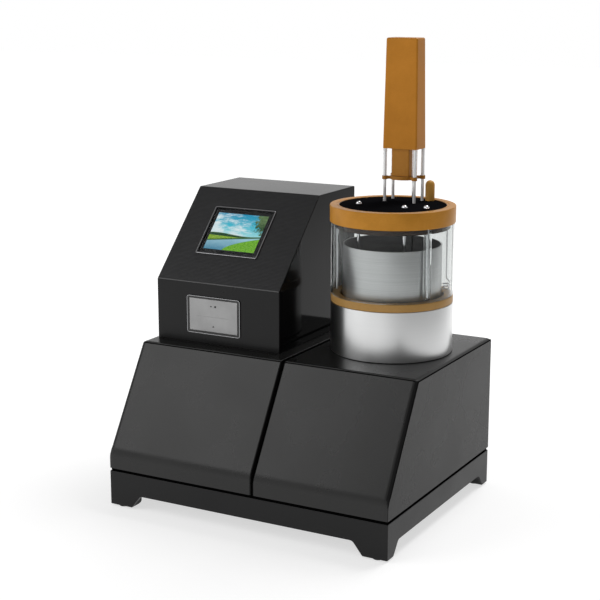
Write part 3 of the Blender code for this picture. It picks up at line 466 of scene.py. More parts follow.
def arc_corners(outline, radius, steps=4, closed_on_axis=False):
    """Round each corner of an outline; corners on the axis (first value 0) stay as they are."""
    result = []
    count = len(outline)
    for i in range(count):
        corner = Vector(outline[i])
        before = Vector(outline[i - 1]) - corner
        after = Vector(outline[(i + 1) % count]) - corner
        half = before.angle(after) / 2
        if (closed_on_axis and corner.x < ON_AXIS) or half > NEARLY_STRAIGHT:
            result.append(tuple(corner))
            continue
        reach = min(radius / math.tan(half), 0.45 * before.length, 0.45 * after.length)
        arm = reach * math.tan(half)
        before, after = before.normalized(), after.normalized()
        centre = corner + (before + after).normalized() * (arm / math.sin(half))
        start, end = corner + before * reach - centre, corner + after * reach - centre
        sweep = start.angle_signed(end)
        result += [tuple(centre + Matrix.Rotation(-sweep * k / steps, 2) @ start) for k in range(steps + 1)]
    return result


def middle(node):
    low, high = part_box(node)
    return (low + high) / 2


def half_size(node):
    low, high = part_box(node)
    return (high - low) / 2


# ---- mesh tools

def new_piece(name, shape, look, place=(0, 0, 0), turn=(0, 0, 0)):
    bmesh.ops.recalc_face_normals(shape, faces=shape.faces)
    mesh = bpy.data.meshes.new(name)
    shape.to_mesh(mesh)
    shape.free()
    mesh.materials.append(look)
    shade(mesh, SHARP)
    piece = bpy.data.objects.new(name, mesh)
    bpy.context.scene.collection.objects.link(piece)
    return put(piece, place, turn)


def put(piece, place, turn):
    piece.location = place
    piece.rotation_euler = turn
    return piece


def shade(mesh, sharp):
    """Smooth shading, apart from edges that are sharper than an angle in degrees."""
    mesh.shade_smooth()
    mesh.set_sharp_from_angle(angle=math.radians(sharp))


def even_shading(piece):
    """Keep the flat faces flat in shading."""
    piece.modifiers.new("even shading", "WEIGHTED_NORMAL").keep_sharp = True
    return piece


def stand_for(piece, node, *others):
    """The piece rides with a CAD node, has its finish and is shown instead of it."""
    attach(piece, BODY[node])
    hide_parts(node, *others)
    return piece


def go_with(piece, node):
    """An added detail that rides with a CAD node and replaces nothing."""
    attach(piece, BODY[node])
    return piece


def set_mesh(piece, sharp=SHARP):
    """Apply the piece's modifiers, so that its mesh is final."""
    bpy.context.view_layer.update()
    shown = piece.evaluated_get(bpy.context.evaluated_depsgraph_get())
    mesh = bpy.data.meshes.new_from_object(shown)
    piece.modifiers.clear()
    piece.data = mesh
    shade(mesh, sharp)
    return piece


def combine(piece, tools, operation):
    """Cut the tools from the piece or join them to it, then remove them."""
    for tool in tools:
        modifier = piece.modifiers.new(operation, "BOOLEAN")
        modifier.operation = operation
        modifier.solver = "EXACT"
        modifier.object = tool
    set_mesh(piece)
    for tool in tools:
        bpy.data.objects.remove(tool, do_unlink=True)
    return piece


def bevelled(piece, width, segments, **limit):
    modifier = piece.modifiers.new("rounding", "BEVEL")
    modifier.width = width
    modifier.segments = segments
    for name, value in limit.items():
        setattr(modifier, name, value)
    return even_shading(set_mesh(piece, ROUNDED_SHARP))


def round_edges(piece, width, segments=3, over=30):
    """Round the edges that are sharper than an angle in degrees."""
    return bevelled(piece, width, segments, limit_method="ANGLE", angle_limit=math.radians(over),
                    use_clamp_overlap=True)


def whole_faces(node):
    """A CAD node's shape, with each flat face in one piece."""
    shape = bmesh.new()
    shape.from_mesh(NODES[node].data)
    bmesh.ops.remove_doubles(shape, verts=shape.verts, dist=1e-6)
    bmesh.ops.dissolve_limit(shape, angle_limit=math.radians(1), verts=shape.verts, edges=shape.edges)
    return shape


def finer(node, look, width):
    """A finer copy of a CAD node, with softly rounded bare edges."""
    piece = new_piece(f"{node}_fine", whole_faces(node), look)
    return stand_for(round_edges(piece, width, over=50), node)


def paint_faces(piece, look, chosen):
    """Give the faces that a test picks out another look."""
    piece.data.materials.append(look)
    index = len(piece.data.materials) - 1
    for face in piece.data.polygons:
        if chosen(face):
            face.material_index = index
    return piece


def paint_normals(piece, looks, tests):
    """Give faces the looks that tests of their normals pick out; a later test paints over an earlier one."""
    for name, chosen in tests.items():
        paint_faces(piece, looks[name], lambda face: chosen(face.normal))


def paint_inside(piece, look, radius):
    """Give the faces within a radius of the piece's own axis another look."""
    paint_faces(piece, look, lambda face: math.hypot(face.center.x, face.center.y) < radius + 0.3 * MM)


def turned(name, profile, look, centre=(0, 0), segments=ROUND, radius=0.0, steps=4):
    """Turn a closed (radius, z) outline about the upright axis through centre, its corners rounded first."""
    if radius:
        profile = arc_corners(profile, radius, steps, closed_on_axis=True)
    shape = bmesh.new()
    rings = []
    for r, z in profile:
        around = circle(r, 1 if r < ON_AXIS else segments)
        rings.append([shape.verts.new((x, y, z)) for x, y in around])
    for ring, following in zip(rings, rings[1:] + rings[:1]):
        for i in range(segments):
            j = (i + 1) % segments
            corners = [ring[i % len(ring)], ring[j % len(ring)]]
            corners += [following[j % len(following)], following[i % len(following)]]
            corners = list(dict.fromkeys(corners))
            if len(corners) > 2:
                shape.faces.new(corners)
    return new_piece(name, shape, look, (centre[0], centre[1], 0))


def turned_for(node, profile, look, segments, radius=0.0, steps=4):
    """A turned piece that stands for an upright round CAD node."""
    return stand_for(turned(f"{node}_fine", profile, look, middle(node), segments, radius, steps), node)


def round_for(node, inner, look, segments, radius, steps=4):
    """A cylinder, or a tube with an inner radius, that stands for an upright round CAD node."""
    low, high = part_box(node)
    return turned_for(node, oblong(inner, half_size(node).x, low.z, high.z), look, segments, radius, steps)


def extruded(name, outline, low, high, look, place=(0, 0, 0), turn=(0, 0, 0)):
    """Extrude a flat (x, y) outline along its own Z."""
    shape = bmesh.new()
    first = [shape.verts.new((x, y, low)) for x, y in outline]
    last = [shape.verts.new((x, y, high)) for x, y in outline]
    shape.faces.new(first)
    shape.faces.new(last)
    for i in range(len(outline)):
        j = (i + 1) % len(outline)
        shape.faces.new((first[i], first[j], last[j], last[i]))
    return new_piece(name, shape, look, place, turn)


def drilled(piece, node, holes):
    """Cut upright round holes, each (centre, radius), right through a node's height."""
    low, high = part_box(node)
    look = piece.data.materials[0]
    tools = [turned(f"drill {i}", oblong(0, radius, low.z - MM, high.z + MM), look, centre, PIN)
             for i, (centre, radius) in enumerate(holes)]
    return combine(piece, tools, "DIFFERENCE")


def new_wire(name, look, radius):
    data = bpy.data.curves.new(name, "CURVE")
    data.dimensions = "3D"
    data.bevel_depth = radius
    data.bevel_resolution = 4
    data.use_fill_caps = True
    data.materials.append(look)
    wire = bpy.data.objects.new(name, data)
    bpy.context.scene.collection.objects.link(wire)
    return wire


def add_spline(wire, points, closed):
    spline = wire.data.splines.new("POLY")
    spline.points.add(len(points) - 1)
    for point, place in zip(spline.points, points):
        point.co = (*place, 1)
    spline.use_cyclic_u = closed
    spline.use_smooth = True


# ---- base, modules and covers

def make_enclosures(looks):
    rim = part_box("left_housing")[0].z - 5 * MM
    base = finer("plinth", looks["plinth"], 0.8 * MM)
    # Painted shadow: the plinth's band above this height, in the gap under the covers, is painted near-black.
    paint_faces(base, looks["gap_shadow"], lambda face: face.center.z > rim)
    for node in ("left_housing", "right_housing"):
        make_cover(node, looks)
    case = finer("display_housing", looks["satin"], 0.4 * MM)
    # Painted highlight along the crease between the display's slope and its front
    paint_normals(case, looks, CASE_PAINT)
    make_display_shadow_strip(looks)
    for node in ("rear_panel_left", "rear_panel_right", "display_rear_cover"):
        finer(node, looks["plinth"], 0.3 * MM)
    for place in ("front_left", "front_right", "rear_left", "rear_right"):
        round_for(f"foot_pad_{place}", 0, looks["rubber"], PIN, 0.6 * MM)
    make_screws(looks)


def make_cover(node, looks):
    """A folded lower cover, open below and behind, with a soft lower crease."""
    low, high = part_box(node)
    outline = [(low.y, low.z), (high.y, low.z), (high.y, high.z), (SLOPE_TOP_Y, high.z), (low.y, CREASE_Z)]
    soft = outline[:2]
    for corner, radius, steps in COVER_CORNERS:
        first = corner * (steps + 1)
        soft += arc_corners(outline, radius, steps)[first:first + steps + 1]
    pulls = []
    for i, corner in enumerate(soft):
        y, z = (Vector(corner) + Vector(soft[(i + 1) % len(soft)])) / 2
        share = min(max((z - CREASE_Z) / BEND_FADE + 0.5, LEAST_BEND), 1.0)
        pulls.append(share * BEND_DEPTH if low.z < z and y < high.y - MM else 0.0)
    left, right = (OUTER_BEND, GAP_BEND) if node == "left_housing" else (GAP_BEND, OUTER_BEND)
    cover = soft_sided(f"{node}_fine", soft, (low.x, left), (high.x, right), pulls, looks["module"])
    front, rear, under, foot = low.y + SHEET, high.y + SHEET, high.z - SHEET, low.z - SHEET
    inner = [(front, foot), (rear, foot), (rear, under), (SLOPE_TOP_Y + SHEET / 2, under),
             (front, CREASE_Z - SHEET / 2)]
    tools = [along_x(extruded("cover hollow", inner, low.x + SHEET, high.x - SHEET, looks["module"]))]
    if node == "left_housing":
        hole = oblong(0, CABLE_HOLE_RADIUS, high.z - 3 * SHEET, high.z + SHEET)
        tools.append(turned("cable hole", hole, looks["module"], CABLE_HOLE, PIN))
    combine(cover, tools, "DIFFERENCE")
    shade(cover.data, ROUNDED_SHARP)
    # Painted shade on the round edges, and a painted highlight along the fold at the top of the slope
    paint_normals(cover, looks, COVER_PAINT)
    stand_for(even_shading(cover), node)


def pulled_in(outline, pulls):
    """Move the sides of an outline inwards, side i (from corner i to the next) by pulls[i]."""
    result = []
    for i, corner in enumerate(outline):
        corner = Vector(corner)
        before = (corner - Vector(outline[i - 1])).normalized()
        after = (Vector(outline[(i + 1) % len(outline)]) - corner).normalized()
        first, second = Vector((-before.y, before.x)), Vector((-after.y, after.x))
        behind, ahead = pulls[i - 1], pulls[i]
        turning = first.x * second.y - first.y * second.x
        if turning > SQUARE_TURN:
            move = Vector((behind * second.y - ahead * first.y, ahead * first.x - behind * second.x))
            move /= turning
        else:
            move = (first + second).normalized() * (behind + ahead) / 2
        result.append(tuple(corner + move))
    return result


def soft_sided(name, outline, low, high, pulls, look, steps=7):
    """Run a (y, z) outline along X between two ends (x, run); over a run, side i comes in by pulls[i]."""
    shape = bmesh.new()
    rings = []
    for (end, run), outwards in ((low, -1), (high, 1)):
        for k in range(steps + 1):
            angle = QUARTER * (steps - k if outwards < 0 else k) / steps
            x = end - outwards * run * (1 - math.sin(angle))
            around = pulled_in(outline, [pull * (1 - math.cos(angle)) for pull in pulls])
            rings.append([shape.verts.new((x, y, z)) for y, z in around])
    shape.faces.new(rings[0])
    shape.faces.new(rings[-1])
    for ring, following in zip(rings, rings[1:]):
        for i in range(len(ring)):
            j = (i + 1) % len(ring)
            shape.faces.new((ring[i], ring[j], following[j], following[i]))
    return new_piece(name, shape, look)


def along_x(piece):
    """Lay a flat (x, y) outline extruded along Z out as a (y, z) outline extruded along X."""
    piece.data.transform(Matrix(((0, 0, 1, 0), (1, 0, 0, 0), (0, 1, 0, 0), (0, 0, 0, 1))))
    return piece


def make_display_shadow_strip(looks):
    """A thin dark rubber strip under the display housing: painted shade for the dark line along the housing's
    foot.
    """
    low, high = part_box("display_housing")
    inset, top = 0.5 * MM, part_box("left_housing")[1].z
    outline = oblong(low.x + inset, high.x - inset, low.y + inset, high.y - inset)
    shadow_strip = extruded("display_shadow_strip", outline, top + 0.02 * MM, low.z + 0.1 * MM, looks["rubber"])
    go_with(shadow_strip, "display_housing")


def make_screws(looks):
    """Small cross-head screws at the corners of the rear panels, the rear cover and the fan guard."""
    for node, inset in SCREW_INSETS.items():
        low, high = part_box(node)
        corners = [(x, z) for x in (low.x + inset, high.x - inset) for z in (low.z + inset, high.z - inset)]
        for number, (x, z) in enumerate(corners, 1):
            screw = make_screw_head(f"{node}_screw_{number}", looks["chrome"])
            go_with(put(screw, (x, high.y, z), (-QUARTER, 0, 0.4 * number)), node)


def make_screw_head(name, look):
    """A low dome with a cross cut into it."""
    radius, brim, height = 2.6 * MM, 0.4 * MM, 1.6 * MM
    profile = [(0, -0.2 * MM), (radius, -0.2 * MM), *dome(radius, brim, height - brim, 6), (0, height)]
    head = turned(name, profile, look, segments=PIN)
    arms = [extruded(f"{name} slot {i}", rectangle(1.5 * MM, 0.35 * MM), height - 0.8 * MM, 2 * height, look,
                     turn=(0, 0, i * QUARTER)) for i in range(2)]
    return combine(head, arms, "DIFFERENCE")


# ---- rear fittings

def make_rear_fittings(looks):
    for node, look, width in REAR_FITTINGS:
        finer(node, looks[look], width)
    make_switch_marks(looks)
    make_fan_guard(looks)


def make_switch_marks(looks):
    """A bar and a ring, one on each finger face of the rocker, which is tilted and slightly dished."""
    centre = middle("power_switch")
    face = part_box("power_switch")[1].y
    tilt, dish = math.radians(7), math.atan(1 / 9)
    bar = extruded("switch_mark_on", rectangle(0.35 * MM, 1.6 * MM), -0.1 * MM, 0.1 * MM, looks["mark"])
    outline = oblong(1.1 * MM, 1.7 * MM, -0.1 * MM, 0.1 * MM)
    ring = turned("switch_mark_off", outline, looks["mark"], segments=PIN)
    for mark, side, drop in ((bar, -1, 1.15 * MM), (ring, 1, 0.05 * MM)):
        put(mark, (centre.x + side * 5 * MM, face - drop, centre.z), (-QUARTER, 0, tilt + side * dish))
        go_with(mark, "power_switch")


def make_fan_guard(looks):
    """Wire rings in front of four spokes, each of which ends in an eye round its screw."""
    rings, eye, lift = (7 * MM, 14 * MM, 21 * MM, 28 * MM), 3.4 * MM, 0.2 * MM
    reach = (half_size("fan_guard").x - SCREW_INSETS["fan_guard"]) * math.sqrt(2)
    guard = new_wire("fan_guard_fine", looks["chrome"], 0.75 * MM)
    for radius in rings:
        add_spline(guard, [(x, lift, z) for x, z in circle(radius, 48)], True)
    for i in range(4):
        angle = math.radians(45 + 90 * i)
        along = Vector((math.cos(angle), 0, math.sin(angle)))
        hub = along * reach
        add_spline(guard, [(end.x, -lift, end.z) for end in (along * rings[0], along * (reach - eye))], False)
        add_spline(guard, [(hub.x + x, -lift, hub.z + z) for x, z in circle(eye, 24)], True)
    guard.location = middle("fan_guard")
    stand_for(guard, "fan_guard")


# ---- display and printer

def slope_frame():
    """The middle of the display's front face, and the turn that lays flat outlines on the sloped housing."""
    faces = NODES["touch_glass"].data.polygons
    normal = max(faces, key=lambda face: (round(face.area, 9), face.normal.z)).normal
    normal = normal if normal.z > 0 else -normal
    return middle("lcd_panel") + Vector(normal) * PANEL_THICK / 2, (math.atan2(-normal.y, normal.z), 0, 0)


def make_display(looks):
    """The picture, its black border, the glass over it, the bezel and the dark inlay in the bezel's face."""
    centre, turn = slope_frame()
    glass_x = half_size("touch_glass").x
    glass_y = glass_x * GLASS_HEIGHT_TO_WIDTH
    bezel_x = half_size("screen_bezel").x
    bezel_y = bezel_x * BEZEL_HEIGHT_TO_WIDTH
    bright, top = 1.5 * MM, 2.1 * MM

    def on_slope(name, outline, low, high, look):
        return extruded(name, outline, low, high, look, centre, turn)

    def border(name, outline, low, high, opening, node):
        sheet = on_slope(name, outline, low, high, looks["mask"])
        window = on_slope(f"{name} window", opening, -5 * MM, 5 * MM, looks["mask"])
        go_with(combine(sheet, [window], "DIFFERENCE"), node)

    picture = landscape_screen("landscape", *IMAGE)
    stand_for(on_slope("lcd_panel_fine", rectangle(*PANEL), -PANEL_THICK, 0, picture), "lcd_panel")
    border("screen_mask", rectangle(glass_x - 0.2 * MM, glass_y - 0.2 * MM), 0.06 * MM, 0.16 * MM,
           rectangle(*IMAGE), "touch_glass")
    glass = rectangle(glass_x, glass_y)
    glass = on_slope("touch_glass_fine", glass, 0.3 * MM, 1.6 * MM, looks["screen_glass"])
    stand_for(round_edges(glass, 0.25 * MM, 2), "touch_glass")
    finer("screen_bezel", looks["bezel_rim"], 0.5 * MM)
    border("bezel_inlay", arc_corners(rectangle(bezel_x - bright, bezel_y - bright), 2 * MM), top - 0.1 * MM,
           top + 0.06 * MM, rectangle(glass_x - 0.1 * MM, glass_y - 0.1 * MM), "screen_bezel")
    for node in ("display_board", "control_board"):
        NODES[node].data.materials[0] = looks["circuit"]


def make_printer(looks):
    finer("printer_frame", looks["bezel"], 0.5 * MM)
    make_printer_highlight_bead(looks)
    finer("printer_door", looks["door"], 0.25 * MM)
    low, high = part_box("feed_button")
    place = middle("feed_button")
    outline = oblong(0, 1.5 * MM, -high.y, -low.y)
    button = turned("feed_button_fine", outline, looks["bezel"], segments=PIN, radius=0.3 * MM)
    stand_for(put(button, (place.x, 0, place.z), UPRIGHT), "feed_button")
    make_door_marks(looks)
    finer("printer_chassis", looks["black_plastic"], 0.4 * MM)
    finer("print_head", looks["machined"], 0.2 * MM)
    make_rollers(looks)


def make_printer_highlight_bead(looks):
    """A thin bright metal bead round the printer's frame: a painted highlight along the frame's outer edge.
    """
    centre, half, thick = middle("printer_frame"), half_size("printer_frame"), 0.8 * MM
    outer = arc_corners(rectangle(half.x, half.z), 4 * MM, 8)
    inner = arc_corners(rectangle(half.x - thick, half.z - thick), 3 * MM, 8)
    place = (centre.x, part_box("printer_frame")[0].y, centre.z)
    bead = extruded("printer_highlight_bead", outer, -0.1 * MM, 0.35 * MM, looks["highlight_bead"], place, UPRIGHT)
    hole = extruded("trim hole", inner, -MM, MM, looks["highlight_bead"], place, UPRIGHT)
    combine(bead, [hole], "DIFFERENCE")
    go_with(round_edges(bead, 0.15 * MM, 2), "printer_frame")


def make_door_marks(looks):
    """A flap behind the paper slot, a dark lamp beside the button and a triangle at the door's foot."""
    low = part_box("printer_door")[0]
    centre, button = middle("printer_door"), middle("feed_button")
    slot_z = middle("platen_roller").z + 7 * MM
    flap = extruded("slot_flap", rectangle(29.4 * MM, 0.6 * MM), -1.2 * MM, -0.35 * MM, looks["door"],
                    (centre.x, low.y, slot_z), UPRIGHT)
    go_with(flap, "printer_door")
    profile = [(0, -0.5 * MM), (1.3 * MM, -0.5 * MM), (1.3 * MM, 0.1 * MM), (0, 0.2 * MM)]
    lamp = turned("printer_lamp", profile, looks["lamp"], segments=PIN, radius=0.15 * MM)
    go_with(put(lamp, (2 * centre.x - button.x, low.y, button.z), UPRIGHT), "printer_door")
    corners = [(-y, x) for x, y in circle(2.2 * MM, 3)]
    arrow = extruded("door_arrow", corners, -0.1 * MM, 0.12 * MM, looks["black_plastic"],
                     (centre.x, low.y, low.z + 9.5 * MM), UPRIGHT)
    go_with(arrow, "printer_door")


def make_rollers(looks):
    """The platen on its axle, and the paper wound on its core."""
    size, axle, cover = half_size("platen_roller"), 1.5 * MM, 30 * MM
    platen = [(0, -size.x), (axle, -size.x), (axle, -cover), (size.z, -cover),
              (size.z, cover), (axle, cover), (axle, size.x), (0, size.x)]
    size = half_size("paper_roll")
    paper = oblong(6.5 * MM, size.z, -size.x, size.x)
    for node, profile, look in (("platen_roller", platen, "rubber"), ("paper_roll", paper, "paper")):
        roller = turned(f"{node}_fine", profile, looks[look], radius=0.3 * MM)
        stand_for(put(roller, middle(node), (0, QUARTER, 0)), node)


# ---- bath

def make_vessel(looks):
    """The drum over its thin seal, the ring on it and the glass cylinder."""
    seal_low, seal_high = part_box("drum_seal")
    seal = half_size("drum_seal").x
    low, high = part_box("drum")
    outer = half_size("drum").x
    inner, floor, foot = outer - 2 * MM, low.z + 3 * MM, seal_low.z + 0.7 * MM
    profile = [(0, low.z), (seal - 2 * MM, low.z), (seal - 2 * MM, foot), (outer, foot), (outer, high.z),
               (inner, high.z), (inner, floor), (0, floor)]
    turned_for("drum", profile, looks["drum"], FINE, 0.4 * MM)
    inner, lip, step = seal - 8 * MM, seal - 2.2 * MM, seal_low.z + 0.6 * MM
    profile = [(inner, seal_low.z), (seal, seal_low.z), (seal, step), (lip, step), (lip, seal_high.z),
               (inner, seal_high.z)]
    turned_for("drum_seal", profile, looks["rubber"], FINE, 0.1 * MM)
    round_for("mid_ring", 84 * MM, looks["phenolic_pale"], FINE, 1.4 * MM)
    round_for("glass_cylinder", half_size("glass_cylinder").x - 3.5 * MM, looks["glass"], FINE, 0.7 * MM)


def make_lid(looks):
    """The grooved top ring, and the drilled plate and plug in it."""
    low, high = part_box("top_ring")
    outer, inner, ledge = half_size("top_ring").x, 86.4 * MM, 83.2 * MM
    groove, groove_end, groove_floor = 89.5 * MM, 90.4 * MM, high.z - 0.7 * MM
    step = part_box("lid_plate")[0].z - GAP
    profile = [(ledge, low.z), (outer, low.z), (outer, high.z), (groove_end, high.z),
               (groove_end, groove_floor), (groove, groove_floor), (groove, high.z), (inner, high.z),
               (inner, step), (ledge, step)]
    ring = turned_for("top_ring", profile, looks["phenolic"], FINE, 1.1 * MM)
    # Painted shade: the ring's inner wall is painted a much darker phenolic.
    paint_inside(ring, looks["phenolic_shade"], inner)

    studs = [(middle(node), STUD_HOLE) for node in STUDS]
    shaft = (middle("stirrer_shaft"), SHAFT_HOLE)
    in_plate = [(middle(node), half_size(node).x + GAP) for node in POSTS]
    in_plate += [*studs, shaft, (middle("filler_plug"), 5.4 * MM)]
    in_plug = [(middle("sensor_well"), 6.8 * MM), (middle("level_rod"), 2.3 * MM),
               (middle("heater_coil"), 2 * MM), shaft, *studs]
    for node, look, edge, holes in (("lid_plate", "gloss_black", 0.5 * MM, in_plate),
                                    ("lid_plug", "plug", 1.2 * MM, in_plug)):
        drilled(round_for(node, 0, looks[look], FINE, edge), node, holes)


def make_lid_studs(looks):
    """A domed nut on the lid, a shank through it, a lock nut under the plug and a standoff, three times."""
    base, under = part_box("lid_plate")[1].z + GAP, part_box("lid_plug")[0].z
    standoff, shank, crown, crown_foot = 2.6 * MM, 2 * MM, 4.2 * MM, base + 2.9 * MM
    for i, node in enumerate(STUDS, 1):
        low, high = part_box(node)
        centre = middle(node)
        profile = [(0, low.z), (standoff, low.z), (standoff, under - GAP), (shank, under - GAP),
                   (shank, base), (crown, base),
                   *dome(crown, crown_foot, high.z - crown_foot, 10), (0, high.z)]
        turned_for(node, profile, looks["chrome"], ROUND)
        for name, foot in (("nut", base), ("locknut", under - 3.4 * MM)):
            nut = extruded(f"{node}_{name}", circle(NUT_RADIUS, 6), foot, foot + NUT_HEIGHT, looks["chrome"],
                           (centre.x, centre.y, 0), (0, 0, 0.3 * i))
            go_with(round_edges(nut, 0.4 * MM), node)


def make_lid_hangings(looks):
    """The can, the sensor well with its probe, the level rod and the heater coil."""
    low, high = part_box("inner_can")
    outer, floor = half_size("inner_can").x, low.z + 3 * MM
    inner = outer - 2.5 * MM
    profile = [(0, low.z), (outer, low.z), (outer, high.z), (inner, high.z), (inner, floor), (0, floor)]
    can = turned_for("inner_can", profile, looks["can"], FINE, 0.8 * MM)
    # Painted shade: the can's inner wall and floor get a much darker copy of its metal.
    paint_inside(can, looks["can_inside_shade"], inner)
    low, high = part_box("sensor_well")
    outer = half_size("sensor_well").x
    turned_for("sensor_well", test_tube(outer, outer - 1.2 * MM, low.z, high.z), looks["tube"], ROUND)
    round_for("temperature_probe", 0, looks["chrome"], ROUND, 1.2 * MM)
    round_for("level_rod", 0, looks["chrome"], ROUND, 0.8 * MM)
    make_heater_coil(looks)


def test_tube(outer, inner, low, top):
    """The outline of a tube with a round bottom."""
    centre, steps = low + outer, 12
    return [(0, low), *reversed(dome(outer, centre, -outer, steps)), (outer, top), (inner, top),
            *dome(inner, centre, -inner, steps), (0, centre - inner)]


def make_heater_coil(looks):
    """Turns of wire that run in to the middle and go up as a riser."""
    low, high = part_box("heater_coil")
    centre, wire = middle("heater_coil"), 1.1 * MM
    radius = half_size("heater_coil").x - wire
    bottom, top = low.z + wire, low.z + 14.3 * MM
    turns, steps, bend = 3, 36, 14
    points = []
    for i in range(turns * steps + 1):
        angle = math.tau * i / steps
        z = bottom + (top - bottom) * i / turns / steps
        points.append((radius * math.cos(angle), radius * math.sin(angle), z))
    for i in range(1, bend + 1):
        share = i / bend
        angle, reach = QUARTER * share, radius * (1 - share * share * (3 - 2 * share))
        points.append((reach * math.cos(angle), reach * math.sin(angle), top + 9 * MM * share))
    points.append((0, 0, high.z))
    coil = new_wire("heater_coil_fine", looks["bright_steel"], wire)
    add_spline(coil, points, False)
    coil.location = (centre.x, centre.y, 0)
    stand_for(coil, "heater_coil")


# ---- stirrer tower

def make_tower(looks):
    for i in range(1, 5):
        round_for(f"post_{i}", 0, looks["pale_steel"], ROUND, 0.3 * MM, 2)
        round_for(f"sleeve_{i}", 2.9 * MM, looks["sleeve"], ROUND, 0.3 * MM, 2)
    make_flange(looks)
    finer("motor_neck", looks["phenolic_dark"], 0.4 * MM)
    make_motor_housing(looks)
    round_for("stirrer_shaft", 0, looks["bright_steel"], PIN, 0.3 * MM)
    finer("impeller", looks["bright_steel"], 0.2 * MM)
    finer("stirrer_motor", looks["machined"], 0.6 * MM)
    make_filler_plug(looks)


def make_motor_housing(looks):
    """The tapered housing with soft outer edges; the rim at its open foot stays crisp."""
    shape = whole_faces("motor_housing")
    bmesh.ops.recalc_face_normals(shape, faces=shape.faces)
    weight = shape.edges.layers.float.new("bevel_weight_edge")
    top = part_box("motor_housing")[1].z
    for edge in shape.edges:
        reaches_top = max(vertex.co.z for vertex in edge.verts) > top - MM
        if edge.is_convex and edge.calc_face_angle(0) > math.radians(50) and reaches_top:
            edge[weight] = 1.0
    housing = new_piece("motor_housing_fine", shape, looks["phenolic_housing"])
    stand_for(bevelled(housing, 3.5 * MM, 6, limit_method="WEIGHT"), "motor_housing")


def make_flange(looks):
    """A disc with an arm and a round ear for each post."""
    look = looks["phenolic_dark"]
    low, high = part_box("post_flange")
    centre = middle("post_flange")
    half_arm, arm_inset = 3 * MM, 0.5 * MM
    disc = turned("post_flange_fine", oblong(0, 22 * MM, low.z, high.z), look, centre, FINE)
    tools = []
    for i, node in enumerate(POSTS, 1):
        post = middle(node)
        along = Vector((post.x - centre.x, post.y - centre.y))
        across = Vector((-along.y, along.x)).normalized() * half_arm
        outline = [tuple(corner) for corner in (-across, along - across, along + across, across)]
        tools.append(extruded(f"flange arm {i}", outline, low.z + arm_inset, high.z - arm_inset, look,
                              (centre.x, centre.y, 0)))
        tools.append(turned(f"flange ear {i}", oblong(0, 4.5 * MM, low.z, high.z), look, post, ROUND))
    combine(disc, tools, "UNION")
    holes = [(middle(node), 2.7 * MM) for node in POSTS] + [(middle("stirrer_shaft"), 2.6 * MM)]
    drilled(disc, "post_flange", holes)
    stand_for(round_edges(disc, 0.5 * MM, 2, 60), "post_flange")


def make_filler_plug(looks):
    """A peg with a round top, on a thinner shank in the lid."""
    low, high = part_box("filler_plug")
    head, shank, shoulder = half_size("filler_plug").x, 5 * MM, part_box("lid_plate")[1].z + GAP
    profile = [(0, low.z), (shank, low.z), (shank, shoulder), (head, shoulder),
               *dome(head, high.z - head, head, 12), (0, high.z)]
    turned_for("filler_plug", profile, looks["phenolic_olive"], ROUND)


# ---- all the looks

def even(value):
    return (value, value, value)


